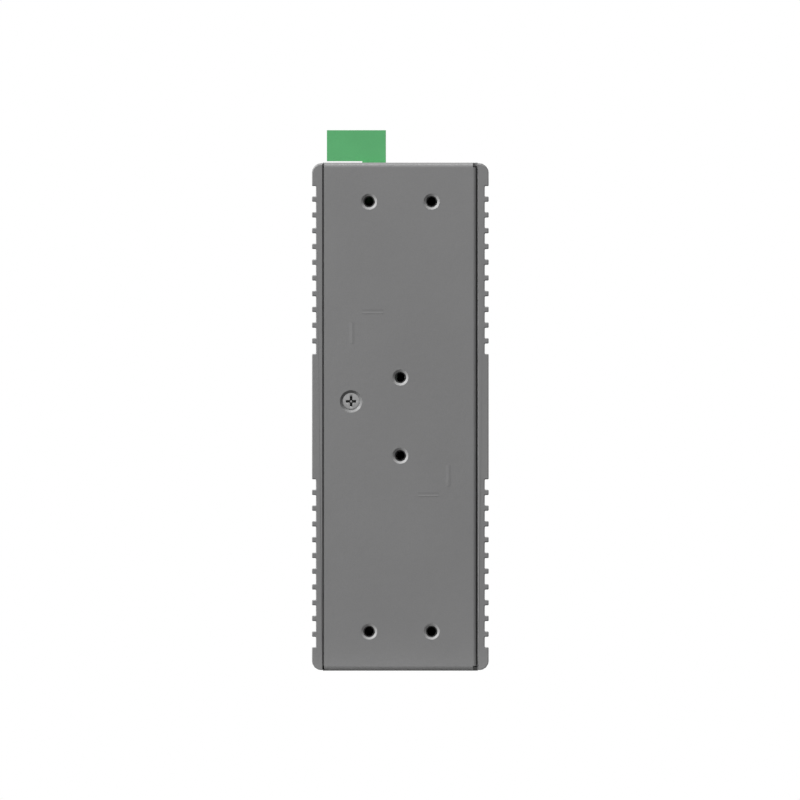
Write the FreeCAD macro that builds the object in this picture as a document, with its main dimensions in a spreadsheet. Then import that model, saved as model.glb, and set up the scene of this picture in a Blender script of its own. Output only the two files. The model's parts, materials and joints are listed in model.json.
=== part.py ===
# DIN rail ethernet switch: a folded steel chassis between two finned aluminium covers,
# a main board and a power board inside, and a pluggable terminal block on top.
# Millimetres. +Z is up, the ports face -Y, the fixing wall faces +Y.
# The origin is the centre of the base under the whole switch.
import FreeCAD, Part
import os
import re
import Sketcher

doc = FreeCAD.newDocument("din_rail_switch")
dims = doc.addObject("Spreadsheet::Sheet", "dims")

sizes = [
    # Case
    ("case_width", 45.2),
    ("case_height", 130.0),
    ("case_depth", 100.0),
    ("sheet_thickness", 1.0),
    ("bend_radius", 1.2),
    ("relief_gap", 0.2),
    ("cover_thickness", 2.8),
    ("cover_seam", 0.3),
    ("cover_inset", 0.15),
    ("cover_corner_radius", 2.3),
    ("groove_width", 2.66),
    ("groove_pitch", 4.03),
    ("groove_depth", 1.0),
    ("groove_end_margin", 6.0),
    ("port_protrusion", 0.5),
    ("overcut", 1.0),
    # Fixing holes
    ("wall_hole_edge", 10.0),
    ("wall_hole_spacing", 16.0),
    ("clip_hole_spacing", 20.0),
    ("tapped_hole_radius", 1.25),
    ("tapped_hole_mouth", 0.8),
    ("tapped_hole_lead_in", 0.45),
    ("collar_radius", 2.2),
    ("collar_length", 1.4),
    ("mark_width", 0.3),
    ("mark_depth", 0.12),
    ("mark_length", 5.3),
    ("mark_frame_width", 24.6),
    ("mark_frame_height", 46.8),
    ("mark_setback", 2.5),
    ("mark_rise", 3.2),
    # Countersunk screws
    ("screw_seat_radius", 2.85),
    ("screw_seat_depth", 0.55),
    ("screw_head_radius", 2.2),
    ("screw_head_height", 1.05),
    ("screw_radius", 1.15),
    ("screw_length", 5.0),
    ("screw_fit", 0.05),
    ("recess_length", 2.7),
    ("recess_width", 0.55),
    ("recess_depth", 0.8),
    ("cover_screw_inset", 7.2),
    ("cover_screw_rise", 3.9),
    ("bracket_thickness", 1.5),
    ("bracket_width", 12.0),
    ("bracket_leg", 12.0),
    ("bracket_reach", 10.3),
    ("bracket_gap", 1.0),
    ("bracket_screw_reach", 8.5),
    ("bracket_screw_spacing", 6.0),
    ("bracket_screw_radius", 1.0),
    ("bracket_screw_head", 1.9),
    ("bracket_screw_head_height", 1.2),
    ("bracket_screw_bite", 1.3),
    ("panel_tab_width", 8.0),
    ("panel_tab_length", 8.0),
    ("panel_tab_offset", 10.5),
    ("panel_tab_shift", 4.0),
    ("tab_bend_radius", 0.8),
    ("panel_screw_setback", 4.5),
    ("panel_screw_length", 3.2),
    ("plate_screw_inset", 12.0),
    ("plate_screw_edge", 20.0),
    ("plate_screw_radius", 1.45),
    ("plate_screw_head", 2.4),
    ("plate_screw_bite", 1.4),
    # Boards
    ("board_thickness", 1.6),
    ("board_margin", 5.0),
    ("board_front_gap", 0.5),
    ("board_rear_gap", 6.0),
    ("standoff_height", 6.0),
    ("standoff_radius", 3.0),
    ("board_hole_radius", 1.6),
    ("spacer_height", 12.0),
    ("spacer_radius", 2.6),
    ("board_screw_radius", 1.45),
    ("board_screw_head", 2.75),
    ("board_screw_head_height", 1.8),
    ("main_screw_length", 6.0),
    ("power_screw_length", 5.0),
    ("spacer_bore_depth", 5.0),
    ("stud_end_gap", 1.0),
    ("fixing_edge", 4.0),
    ("front_fixing_setback", 14.0),
    ("power_fixing_edge", 3.5),
    ("header_fixing_drop", 6.2),
    ("power_board_gap", 2.4),
    ("power_board_setback", 1.0),
    ("power_board_low", 56.5),
    ("power_board_top_gap", 2.0),
    # Network ports
    ("jack_low", 6.5),
    ("jack_pitch", 13.97),
    ("jack_side", 0.5),
    ("jack_height", 25.4),
    ("jack_depth", 26.0),
    ("jack_skin", 0.3),
    ("port_width", 11.9),
    ("port_height", 6.9),
    ("port_depth", 13.0),
    ("latch_width", 6.3),
    ("latch_height", 1.6),
    ("port_row_gap", 6.0),
    ("port_rim", 0.2),
    ("lamp_width", 2.2),
    ("lamp_height", 1.1),
    ("lamp_depth", 3.0),
    ("lamp_gap", 0.25),
    ("lamp_inset", 0.2),
    ("contact_setback", 5.0),
    ("contact_end_gap", 2.0),
    ("contact_rise", 2.0),
    ("contact_pitch", 1.02),
    ("contact_width", 0.4),
    ("contact_lean", 0.7),
    ("panel_gap", 0.3),
    # Fibre slots
    ("slot_gap", 2.5),
    ("slot_pitch", 15.5),
    ("cage_width", 14.0),
    ("cage_height", 9.8),
    ("cage_length", 47.5),
    ("cage_skin", 0.3),
    ("slot_connector_length", 9.2),
    ("slot_connector_height", 5.6),
    ("slot_connector_width", 11.6),
    ("card_slot_rise", 2.2),
    ("card_slot_height", 1.6),
    ("card_slot_width", 10.0),
    ("card_slot_depth", 5.0),
    # Indicator lamps
    ("led_gap", 4.6),
    ("led_pitch", 4.0),
    ("led_radius", 1.3),
    ("led_first_height", 3.4),
    ("led_row_height", 5.0),
    ("led_holder_wall", 1.0),
    ("led_block_depth", 6.5),
    ("led_seat_depth", 3.0),
    ("led_tip_length", 0.4),
    ("led_tip_radius", 0.8),
    ("led_hole_gap", 0.2),
    # Parts on the boards
    ("chip_rise", 36.0),
    ("chip_side", 20.0),
    ("chip_thickness", 1.5),
    ("heat_block_side", 22.0),
    ("pad_thickness", 0.5),
    ("transformer_length", 12.7),
    ("transformer_width", 9.6),
    ("transformer_height", 5.8),
    ("transformer_gap", 4.0),
    ("memory_length", 10.0),
    ("memory_width", 6.0),
    ("memory_height", 1.2),
    ("crystal_length", 5.0),
    ("crystal_width", 3.2),
    ("crystal_height", 1.3),
    ("small_parts_rise", 18.0),
    ("capacitor_radius", 4.0),
    ("capacitor_height", 12.0),
    ("capacitor_rise", 42.0),
    ("capacitor_pitch", 10.5),
    ("inductor_side", 10.0),
    ("inductor_height", 5.0),
    ("inductor_rise", 44.0),
    ("relay_length", 20.0),
    ("relay_width", 10.0),
    ("relay_height", 10.6),
    ("relay_rise", 13.0),
    ("fuse_length", 8.0),
    ("fuse_width", 4.0),
    ("fuse_height", 4.0),
    ("fuse_drop", 7.0),
    ("regulator_length", 6.0),
    ("regulator_width", 5.0),
    ("regulator_height", 1.7),
    ("regulator_rise", 27.0),
    ("link_pitch", 2.54),
    ("link_socket_height", 8.5),
    ("link_base_height", 2.5),
    ("link_pin", 0.64),
    ("link_hole", 0.9),
    ("link_pin_tail", 0.6),
    ("link_pin_end_gap", 2.5),
    ("link_rise", 29.0),
    # Terminal block
    ("pole_pitch", 5.08),
    ("plug_width", 15.1),
    ("plug_body_height", 7.95),
    ("shoulder_gap", 0.35),
    ("nose_width", 6.05),
    ("nose_length", 8.65),
    ("nose_end_gap", 0.5),
    ("plug_end_wall", 0.9),
    ("plug_wall", 0.9),
    ("plug_nose_wall", 0.8),
    ("plug_roof", 1.1),
    ("plug_floor", 1.0),
    ("plug_clearance", 0.3),
    ("header_wall", 1.0),
    ("header_base", 1.8),
    ("pin_side", 1.0),
    ("pin_tip_gap", 1.1),
    ("pin_shift", 0.3),
    ("pin_drop", 1.2),
    ("pin_tail", 1.4),
    ("pin_hole_gap", 0.25),
    ("cell_width", 4.4),
    ("clamp_width", 4.0),
    ("clamp_depth", 5.1),
    ("clamp_wall", 0.55),
    ("clamp_floor", 0.8),
    ("clamp_nut", 2.0),
    ("wire_space", 2.4),
    ("bar_thickness", 0.7),
    ("bar_width", 2.2),
    ("bar_top_gap", 0.05),
    ("fork_thickness", 0.6),
    ("fork_wall_gap", 0.2),
    ("fork_web_gap", 0.4),
    ("fork_tip_rise", 1.3),
    ("fork_pinch_rise", 3.6),
    ("fork_bend_rise", 6.0),
    ("clamp_head_space", 0.5),
    ("clamp_travel", 2.0),
    ("clamp_gap", 0.3),
    ("clamp_screw_radius", 1.2),
    ("clamp_thread_fit", 0.05),
    ("clamp_screw_head", 1.9),
    ("clamp_screw_head_height", 1.4),
    ("clamp_screw_sink", 0.9),
    ("clamp_slot_width", 0.6),
    ("clamp_slot_depth", 0.7),
    ("screw_shaft_radius", 2.15),
    ("entry_width", 3.9),
    ("entry_height", 3.4),
    ("pin_window", 2.0),
]
groove_count = 11
jack_columns = 4
wire_count = 8
link_rows = 8
pole_count = 6

for row, (alias, size) in enumerate(sizes, start=1):
    dims.set("A%d" % row, alias)
    dims.set("B%d" % row, str(size))
    dims.setAlias("B%d" % row, alias)
doc.recompute()
size_names = {alias for alias, size in sizes}

# Faces and axes that several pieces share, each worked out from the sizes.
places = {
    # Across the width
    "side": "case_width / 2",
    "cover_in": "side - cover_thickness",
    "edge_x": "cover_in - cover_seam",
    "wall_out": "0 - cover_in",
    "wall_in": "wall_out + sheet_thickness",
    "main_back": "wall_in + standoff_height",
    "main_top": "main_back + board_thickness",
    "power_back": "main_top + spacer_height",
    "power_top": "power_back + board_thickness",
    "cavity_low": "power_top + header_wall",
    "plug_low": "cavity_low + plug_clearance",
    "plug_high": "plug_low + plug_width",
    "nose_high": "plug_low + nose_width",
    "cavity_high": "nose_high + plug_clearance",
    "header_high": "cavity_high + header_wall",
    "jack_high": "main_top + jack_height",
    "jack_mid": "main_top + jack_height / 2",
    "screw_x": "cover_in - cover_screw_inset",
    # Along the depth
    "rear": "case_depth / 2",
    "rear_in": "rear - sheet_thickness",
    "port_face": "0 - case_depth / 2",
    "panel_front": "port_face + port_protrusion",
    "panel_back": "panel_front + sheet_thickness",
    "main_front": "panel_back + board_front_gap",
    "main_rear": "rear_in - board_rear_gap",
    "jack_rear": "port_face + jack_depth",
    "cage_rear": "port_face + cage_length",
    "transformer_rear": "jack_rear + transformer_gap + transformer_width",
    "power_front": "transformer_rear + power_board_gap",
    "power_rear": "main_rear - power_board_setback",
    "plug_mid": "(power_front + power_rear) / 2",
    "plug_half": "(pole_pitch * %d + cell_width) / 2 + plug_end_wall" % (pole_count - 1),
    "header_half": "plug_half + plug_clearance + header_wall",
    "panel_screw_y": "panel_back + panel_screw_setback",
    "bracket_y": "jack_rear + bracket_gap + bracket_width / 2",
    # Up the height
    "top_in": "case_height - sheet_thickness",
    "case_mid": "case_height / 2",
    "screw_z": "case_mid + cover_screw_rise",
    "jack_top": "jack_low + jack_pitch * %d + jack_side * 2" % jack_columns,
    "slot_first": "jack_top + slot_gap + cage_width / 2",
    "led_first": "slot_first + slot_pitch + cage_width / 2 + led_gap",
    "power_low": "power_board_low",
    "power_high": "top_in - power_board_top_gap",
    "shoulder": "case_height + shoulder_gap",
    "plug_top": "shoulder + plug_body_height",
    "nose_end": "shoulder - nose_length",
    "cavity_floor": "nose_end - nose_end_gap",
    "header_low": "cavity_floor - header_base",
    "pin_top": "shoulder - pin_tip_gap",
    "pin_z": "header_low - pin_drop",
    # Inside the plug
    "clamp_low": "plug_low + plug_wall + clamp_gap",
    "clamp_floor_top": "clamp_low + clamp_floor",
    "bar_low": "clamp_floor_top + wire_space",
    "bar_high": "bar_low + bar_thickness",
    "nut_low": "bar_high + clamp_head_space",
    "nut_high": "nut_low + clamp_nut",
    "cell_high": "nut_high + clamp_travel + clamp_gap",
    "screw_tip": "bar_high + clamp_gap",
    "head_top": "plug_high - clamp_screw_sink",
    "head_low": "head_top - clamp_screw_head_height",
    "shaft_low": "head_low - clamp_gap / 2",
    "cell_low_z": "shoulder + plug_wall",
    "cell_high_z": "plug_top - plug_roof",
    "clamp_low_z": "(cell_low_z + cell_high_z - clamp_depth) / 2",
    "clamp_high_z": "clamp_low_z + clamp_depth",
    "clamp_mid_z": "(cell_low_z + cell_high_z) / 2",
    "nose_wall_low": "plug_low + plug_nose_wall",
    "nose_wall_high": "nose_high - plug_nose_wall",
    "pin_x": "(nose_wall_low + bar_low) / 2 + pin_shift",
}


def formula(text):
    """The expression for a formula made of place names, size names and numbers."""
    def swap(match):
        word = match.group(0)
        if word in places:
            return "(" + formula(places[word]) + ")"
        if word in size_names:
            return "dims." + word
        return word
    return re.sub(r"[A-Za-z_]\w*", swap, str(text))


def number(text):
    """The present value of a formula."""
    return float(dims.evalExpression(formula(text)))


turns = {
    "XY": FreeCAD.Rotation(),
    "XZ": FreeCAD.Rotation(FreeCAD.Vector(1, 0, 0), 90),
    "YZ": FreeCAD.Rotation(0.5, 0.5, 0.5, 0.5),
}
plane_axis = {"XY": "z", "XZ": "y", "YZ": "x"}
axis_vector = {
    "x": FreeCAD.Vector(1, 0, 0),
    "y": FreeCAD.Vector(0, 1, 0),
    "z": FreeCAD.Vector(0, 0, 1),
}


def rectangle(low_u, high_u, low_v, high_v):
    return [(low_u, low_v), (high_u, low_v), (high_u, high_v), (low_u, high_v)]


def circle(centre_u, centre_v, radius):
    return ("circle", centre_u, centre_v, radius)


def hold(sketch, kind, geometry, spot, text):
    """Holds one coordinate of a sketch point at a formula."""
    index = sketch.addConstraint(Sketcher.Constraint(kind, -1, 1, geometry, spot, number(text)))
    sketch.setExpression("Constraints[%d]" % index, formula(text))


def draw(sketch, outlines):
    """Draws closed outlines, each a list of corners or one circle."""
    for outline in outlines:
        if outline[0] == "circle":
            u, v, radius = outline[1:]
            centre = FreeCAD.Vector(number(u), number(v), 0)
            ring = Part.Circle(centre, FreeCAD.Vector(0, 0, 1), number(radius))
            index = sketch.addGeometry(ring, False)
            hold(sketch, "DistanceX", index, 3, u)
            hold(sketch, "DistanceY", index, 3, v)
            size = sketch.addConstraint(Sketcher.Constraint("Radius", index, number(radius)))
            sketch.setExpression("Constraints[%d]" % size, formula(radius))
            continue
        corners = [FreeCAD.Vector(number(u), number(v), 0) for u, v in outline]
        lines = []
        for place, corner in enumerate(corners):
            following = corners[(place + 1) % len(corners)]
            lines.append(sketch.addGeometry(Part.LineSegment(corner, following), False))
        for place, line in enumerate(lines):
            following = lines[(place + 1) % len(lines)]
            sketch.addConstraint(Sketcher.Constraint("Coincident", line, 2, following, 1))
        for line, (u, v) in zip(lines, outline):
            hold(sketch, "DistanceX", line, 1, u)
            hold(sketch, "DistanceY", line, 1, v)


def new_body(name):
    return doc.addObject("PartDesign::Body", name)


def sketch_on(body, name, plane, outlines, at):
    """A sketch on the body's own origin plane, moved along the plane's axis to a formula."""
    sketch = body.newObject("Sketcher::SketchObject", name)
    base = [item for item in body.Origin.OriginFeatures if item.Role == plane + "_Plane"][0]
    sketch.AttachmentSupport = [(base, "")]
    sketch.MapMode = "FlatFace"
    sign = "0 - " if plane == "XZ" else ""
    sketch.setExpression("AttachmentOffset.Base.z", formula("%s(%s)" % (sign, at)))
    draw(sketch, outlines)
    return sketch


def pad(body, name, plane, outlines, low, high):
    """Material from low to high along the plane's axis."""
    sketch = sketch_on(body, name + "_sketch", plane, outlines, low)
    feature = body.newObject("PartDesign::Pad", name)
    feature.Profile = sketch
    feature.Reversed = plane == "XZ"
    feature.setExpression("Length", formula("(%s) - (%s)" % (high, low)))
    doc.recompute()
    return feature


def pocket(body, name, plane, outlines, low, high):
    """A cut from low to high along the plane's axis."""
    sketch = sketch_on(body, name + "_sketch", plane, outlines, low)
    feature = body.newObject("PartDesign::Pocket", name)
    feature.Profile = sketch
    feature.Reversed = plane != "XZ"
    feature.setExpression("Length", formula("(%s) - (%s)" % (high, low)))
    doc.recompute()
    return feature


def repeat(body, feature, axis, count, pitch, backwards=False):
    """Copies of a feature along one of the body's axes."""
    line = [item for item in body.Origin.OriginFeatures if item.Role == axis.upper() + "_Axis"][0]
    pattern = body.newObject("PartDesign::LinearPattern", feature.Name + "_row")
    pattern.Originals = [feature]
    pattern.Direction = (line, [""])
    pattern.Reversed = backwards
    pattern.setExpression("Length", formula("(%s) * %d" % (pitch, count - 1)))
    pattern.Occurrences = count
    body.Tip = pattern
    doc.recompute()
    return pattern


def straight_edges(shape, spots):
    """Names of the straight edges whose points all lie at one of the spots."""
    names = []
    for index, edge in enumerate(shape.Edges, start=1):
        if edge.Curve.TypeId != "Part::GeomLine":
            continue
        for spot in spots:
            ends = [vertex.Point for vertex in edge.Vertexes]
            misses = [abs(getattr(end, axis) - number(text)) for end in ends for axis, text in spot.items()]
            if max(misses) < 1e-4:
                names.append("Edge%d" % index)
                break
    return names


def round_edges(shape, radius, spot):
    """Names of the full circles of one radius that lie at a spot."""
    names = []
    for index, edge in enumerate(shape.Edges, start=1):
        if edge.Curve.TypeId != "Part::GeomCircle" or len(edge.Vertexes) != 1:
            continue
        centre = edge.Curve.Center
        misses = [abs(getattr(centre, axis) - number(text)) for axis, text in spot.items()]
        if max(misses) < 1e-4 and abs(edge.Curve.Radius - number(radius)) < 1e-4:
            names.append("Edge%d" % index)
    return names


def fillet(body, name, edges, radius):
    feature = body.newObject("PartDesign::Fillet", name)
    feature.Base = (body.Tip if body.Tip != feature else feature.BaseFeature, edges)
    feature.setExpression("Radius", formula(radius))
    doc.recompute()
    return feature


def chamfer(body, name, edges, size, second):
    feature = body.newObject("PartDesign::Chamfer", name)
    feature.Base = (body.Tip if body.Tip != feature else feature.BaseFeature, edges)
    feature.ChamferType = "Two distances"
    feature.setExpression("Size", formula(size))
    feature.setExpression("Size2", formula(second))
    doc.recompute()
    return feature


def aim(axis, sign=1):
    """The turn that points a primitive's own Z along an axis."""
    return FreeCAD.Rotation(FreeCAD.Vector(0, 0, 1), axis_vector[axis] * sign)


def place_at(item, axis, sign, along, across):
    """Binds an item's base: along its axis, and across it in X, Y, Z order."""
    item.Placement = FreeCAD.Placement(FreeCAD.Vector(), aim(axis, sign))
    others = [letter for letter in "xyz" if letter != axis]
    item.setExpression("Placement.Base." + axis, formula(along))
    item.setExpression("Placement.Base." + others[0], formula(across[0]))
    item.setExpression("Placement.Base." + others[1], formula(across[1]))


def cone_cut(body, name, axis, sign, small_end, across, small_radius, large_radius, length):
    """A countersink that widens along the axis from its small end."""
    cone = body.newObject("PartDesign::SubtractiveCone", name)
    place_at(cone, axis, sign, small_end, across)
    cone.setExpression("Radius1", formula(small_radius))
    cone.setExpression("Radius2", formula(large_radius))
    cone.setExpression("Height", formula(length))
    doc.recompute()
    return cone


def rod(name, axis, low, high, across, radius):
    item = doc.addObject("Part::Cylinder", name)
    place_at(item, axis, 1, low, across)
    item.setExpression("Radius", formula(radius))
    item.setExpression("Height", formula("(%s) - (%s)" % (high, low)))
    return item


def cone(name, axis, sign, small_end, across, small_radius, large_radius, length):
    item = doc.addObject("Part::Cone", name)
    place_at(item, axis, sign, small_end, across)
    item.setExpression("Radius1", formula(small_radius))
    item.setExpression("Radius2", formula(large_radius))
    item.setExpression("Height", formula(length))
    return item


def block(name, x, y, z):
    """A box from pairs of formulas, the low and the high side on each axis."""
    item = doc.addObject("Part::Box", name)
    for side, axis, (low, high) in (("Length", "x", x), ("Width", "y", y), ("Height", "z", z)):
        item.setExpression(side, formula("(%s) - (%s)" % (high, low)))
        item.setExpression("Placement.Base." + axis, formula(low))
    return item


def fuse(name, items):
    result = doc.addObject("Part::MultiFuse", name)
    result.Shapes = items
    return result


def cut(name, base, tools):
    result = doc.addObject("Part::Cut", name)
    result.Base = base
    result.Tool = tools[0] if len(tools) == 1 else fuse(name + "_tools", tools)
    return result


def prisms(name, plane, outlines, low, high):
    """Separate straight-sided solids, or rings, drawn in one sketch and extruded together."""
    sketch = doc.addObject("Sketcher::SketchObject", name + "_sketch")
    sketch.Placement = FreeCAD.Placement(FreeCAD.Vector(), turns[plane])
    sketch.setExpression("Placement.Base." + plane_axis[plane], formula(low))
    draw(sketch, outlines)
    item = doc.addObject("Part::Extrusion", name)
    item.Base = sketch
    item.DirMode = "Custom"
    item.Dir = axis_vector[plane_axis[plane]]
    item.FaceMakerClass = "Part::FaceMakerBullseye"
    item.Solid = True
    item.setExpression("LengthFwd", formula("(%s) - (%s)" % (high, low)))
    return item


def group(name, items):
    result = doc.addObject("Part::Compound", name)
    result.Links = items
    return result


nodes = []


def keep(item, label):
    """Marks an object as one piece of the switch, under its own label."""
    item.Label = label
    nodes.append(item)


pole_steps = ["(%.1f)" % (step - (pole_count - 1) / 2) for step in range(pole_count)]
pole_middles = ["plug_mid + pole_pitch * " + step for step in pole_steps]


# Chassis

wall_hole_x = ["wall_hole_spacing / 2", "0 - wall_hole_spacing / 2"]
wall_hole_z = ["wall_hole_edge", "case_height - wall_hole_edge"]
clip_hole_z = ["case_mid - clip_hole_spacing / 2", "case_mid + clip_hole_spacing / 2"]
rear_holes = [(x, z) for x in wall_hole_x for z in wall_hole_z] + [("0", z) for z in clip_hole_z]
tab_middles = ["0 - panel_tab_offset", "panel_tab_offset - panel_tab_shift"]
plate_screw_spots = [
    (y, z)
    for y in ("panel_back + plate_screw_inset", "rear_in - plate_screw_inset")
    for z in ("plate_screw_edge", "case_height - plate_screw_edge")
]


def make_chassis():
    body = new_body("chassis_body")
    channel = [
        ("panel_back", "0"), ("rear", "0"), ("rear", "case_height"), ("panel_back", "case_height"),
        ("panel_back", "top_in"), ("rear_in", "top_in"),
        ("rear_in", "sheet_thickness"), ("panel_back", "sheet_thickness"),
    ]
    first = pad(body, "channel", "YZ", [channel], "wall_out", "edge_x")
    outside = straight_edges(first.Shape, [{"y": "rear", "z": "0"}, {"y": "rear", "z": "case_height"}])
    bent = fillet(body, "outer_bends", outside, "bend_radius")
    inside = [{"y": "rear_in", "z": "sheet_thickness"}, {"y": "rear_in", "z": "top_in"}]
    bent = fillet(body, "inner_bends", straight_edges(bent.Shape, inside), "bend_radius - sheet_thickness")
    # The rear corner of the channel is notched, and the side wall is folded on there.
    notch = rectangle("wall_out - overcut", "wall_out + bend_radius",
                      "rear - bend_radius - relief_gap", "rear + overcut")
    pocket(body, "corner_notch", "XY", [notch], "0 - overcut", "case_height + overcut")
    fold = [
        ("wall_out", "panel_back"), ("wall_in", "panel_back"), ("wall_in", "rear_in"),
        ("wall_out + bend_radius", "rear_in"), ("wall_out + bend_radius", "rear"), ("wall_out", "rear"),
    ]
    side = pad(body, "side_wall", "XY", [fold], "bend_radius", "case_height - bend_radius")
    corner = straight_edges(side.Shape, [{"x": "wall_out", "y": "rear"}])
    side = fillet(body, "side_outer_bend", corner, "bend_radius")
    corner = straight_edges(side.Shape, [{"x": "wall_in", "y": "rear_in"}])
    fillet(body, "side_inner_bend", corner, "bend_radius - sheet_thickness")
    # Six drawn and tapped collars stand inwards from the rear wall.
    collars = [circle(x, z, "collar_radius") for x, z in rear_holes]
    pad(body, "collars", "XZ", collars, "rear_in - collar_length", "rear_in")
    bores = [circle(x, z, "tapped_hole_radius") for x, z in rear_holes]
    bored = pocket(body, "tapped_holes", "XZ", bores, "rear_in - collar_length - overcut", "rear + overcut")
    mouths = round_edges(bored.Shape, "tapped_hole_radius", {"y": "rear"})
    chamfer(body, "hole_mouths", mouths, "tapped_hole_mouth", "tapped_hole_lead_in")
    # Countersunk holes: one at the rear, one at the top and one at the bottom for the open side's
    # cover, and two each at the top and the bottom for the front panel.
    seat_small = "screw_seat_radius - sheet_thickness"
    cone_cut(body, "rear_seat", "y", 1, "rear_in", ("screw_x", "screw_z"),
             seat_small, "screw_seat_radius", "sheet_thickness")
    along_y = [("screw_x", "bracket_y")] + [(middle, "panel_screw_y") for middle in tab_middles]
    for place, across in enumerate(along_y):
        cone_cut(body, "top_seat_%d" % place, "z", 1, "top_in", across,
                 seat_small, "screw_seat_radius", "sheet_thickness")
        cone_cut(body, "bottom_seat_%d" % place, "z", -1, "sheet_thickness", across,
                 seat_small, "screw_seat_radius", "sheet_thickness")
    # Countersunk from inside for the finned plate's screws.
    for place, across in enumerate(plate_screw_spots):
        cone_cut(body, "plate_seat_%d" % place, "x", 1, "wall_out", across,
                 "plate_screw_radius + screw_fit", "plate_screw_head + screw_fit", "sheet_thickness")
    # Opening in the top for the terminal header.
    opening = rectangle("power_top - plug_clearance", "header_high + plug_clearance",
                        "plug_mid - header_half - plug_clearance", "plug_mid + header_half + plug_clearance")
    pocket(body, "header_opening", "XY", [opening], "top_in - overcut", "case_height + overcut")
    # Four fine marks on the rear wall frame the place of the rail clip.
    frame_x = "mark_frame_width / 2"
    frame_z = "mark_frame_height / 2"
    marks = []
    for sign in ("+", "-"):
        edge_x = "0 %s %s" % (sign, frame_x)
        edge_z = "case_mid + mark_rise %s %s" % (sign, frame_z)
        # One upright tick below (or above) the corner, and one level tick beside it.
        back = "-" if sign == "+" else "+"
        near_z = "%s %s mark_setback" % (edge_z, back)
        near_x = "%s %s mark_setback" % (edge_x, back)
        far_z = "%s %s mark_length" % (near_z, back)
        far_x = "%s %s mark_length" % (near_x, back)
        marks.append(rectangle(edge_x, edge_x + " + mark_width", near_z, far_z))
        marks.append(rectangle(near_x, far_x, edge_z, edge_z + " + mark_width"))
    pocket(body, "clip_marks", "XZ", marks, "rear - mark_depth", "rear + overcut")
    keep(body, "chassis")


def make_front_panel():
    body = new_body("panel_body")
    sheet = rectangle("wall_out", "cover_in", "0", "case_height")
    pad(body, "panel_sheet", "XZ", [sheet], "panel_front", "panel_back")
    # Tabs bent back from the panel lie inside the chassis, top and bottom.
    half = "panel_tab_width / 2"
    notches = []
    tabs = []
    for middle in tab_middles:
        wide = half + " + relief_gap"
        notches.append(rectangle("%s - %s" % (middle, half + " - relief_gap"), "%s + %s" % (middle, wide),
                                 "top_in", "case_height + overcut"))
        notches.append(rectangle("%s - %s" % (middle, half + " - relief_gap"), "%s + %s" % (middle, wide),
                                 "0 - overcut", "sheet_thickness"))
        tabs.append(rectangle("%s - %s" % (middle, half), "%s + %s" % (middle, half),
                              "top_in - sheet_thickness", "top_in"))
        tabs.append(rectangle("%s - %s" % (middle, half), "%s + %s" % (middle, half),
                              "sheet_thickness", "sheet_thickness * 2"))
    pocket(body, "tab_notches", "XZ", notches, "panel_front - overcut", "panel_back + overcut")
    bent = pad(body, "tabs", "XZ", tabs, "panel_front", "panel_back + panel_tab_length")
    outside = [{"y": "panel_front", "z": "top_in"}, {"y": "panel_front", "z": "sheet_thickness"}]
    edges = straight_edges(bent.Shape, outside)
    fillet(body, "tab_bends", edges, "tab_bend_radius")
    threads = [circle(middle, "panel_screw_y", "screw_radius + screw_fit") for middle in tab_middles]
    pocket(body, "tab_threads", "XY", threads, "0", "case_height")
    for place, middle in enumerate(tab_middles):
        # Lead-in for the screw head's cone, at the top and at the bottom.
        lead = "screw_head_radius - screw_radius - (sheet_thickness - screw_seat_depth)"
        cone_cut(body, "top_lead_%d" % place, "z", 1, "top_in - (%s)" % lead, (middle, "panel_screw_y"),
                 "screw_radius + screw_fit", "screw_radius + screw_fit + %s" % lead, lead)
        cone_cut(body, "bottom_lead_%d" % place, "z", -1, "sheet_thickness + %s" % lead,
                 (middle, "panel_screw_y"),
                 "screw_radius + screw_fit", "screw_radius + screw_fit + %s" % lead, lead)
    # Openings for the port block, the two fibre slots and the lamps.
    gap = "panel_gap"
    openings = [rectangle("main_top - %s" % gap, "jack_high + %s" % gap,
                          "jack_low - %s" % gap, "jack_top + %s" % gap)]
    for step in ("0", "slot_pitch"):
        middle = "slot_first + " + step
        openings.append(rectangle("main_top - %s" % gap, "main_top + cage_height + %s" % gap,
                                  "%s - cage_width / 2 - %s" % (middle, gap),
                                  "%s + cage_width / 2 + %s" % (middle, gap)))
    openings += [circle(x, z, "led_radius + led_hole_gap") for x, z in led_spots]
    pocket(body, "openings", "XZ", openings, "panel_front - overcut", "panel_back + overcut")
    keep(body, "front_panel")


led_spots = [
    ("main_top + led_first_height + led_row_height * %d" % column, "led_first + led_pitch * %d" % row)
    for column in range(2)
    for row in range(3)
]


def make_cover(label, sign):
    """One finned cover. sign is 1 for the open side and -1 for the folded side."""
    def x(text):
        return text if sign > 0 else "0 - (%s)" % text
    body = new_body(label + "_body")
    plate = rectangle(x("cover_in"), x("side"), "cover_inset", "case_height - cover_inset")
    whole = pad(body, label + "_plate", "XZ", [plate], "panel_front", "rear")
    corners = [{"x": x("side"), "z": "cover_inset"}, {"x": x("side"), "z": "case_height - cover_inset"}]
    fillet(body, label + "_corners", straight_edges(whole.Shape, corners), "cover_corner_radius")
    for word, start, backwards in (
        ("low", "groove_end_margin", False),
        ("high", "case_height - groove_end_margin - groove_width", True),
    ):
        groove = rectangle(x("side - groove_depth"), x("side + overcut"), start, start + " + groove_width")
        first = pocket(body, "%s_%s_groove" % (label, word), "XZ", [groove],
                       "panel_front - overcut", "rear + overcut")
        repeat(body, first, "z", groove_count, "groove_pitch", backwards)
    if sign > 0:
        bores = [circle(y, z, "bracket_screw_radius") for y, z in bracket_screw_spots]
        depth = ("cover_in", "cover_in + bracket_screw_bite")
    else:
        bores = [circle(y, z, "plate_screw_radius") for y, z in plate_screw_spots]
        depth = ("wall_out - plate_screw_bite", "wall_out")
    pocket(body, label + "_threads", "YZ", bores, depth[0], depth[1])
    keep(body, label)


# Brackets inside the open side's cover: one at the rear, one at the top and one at the bottom.

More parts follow.
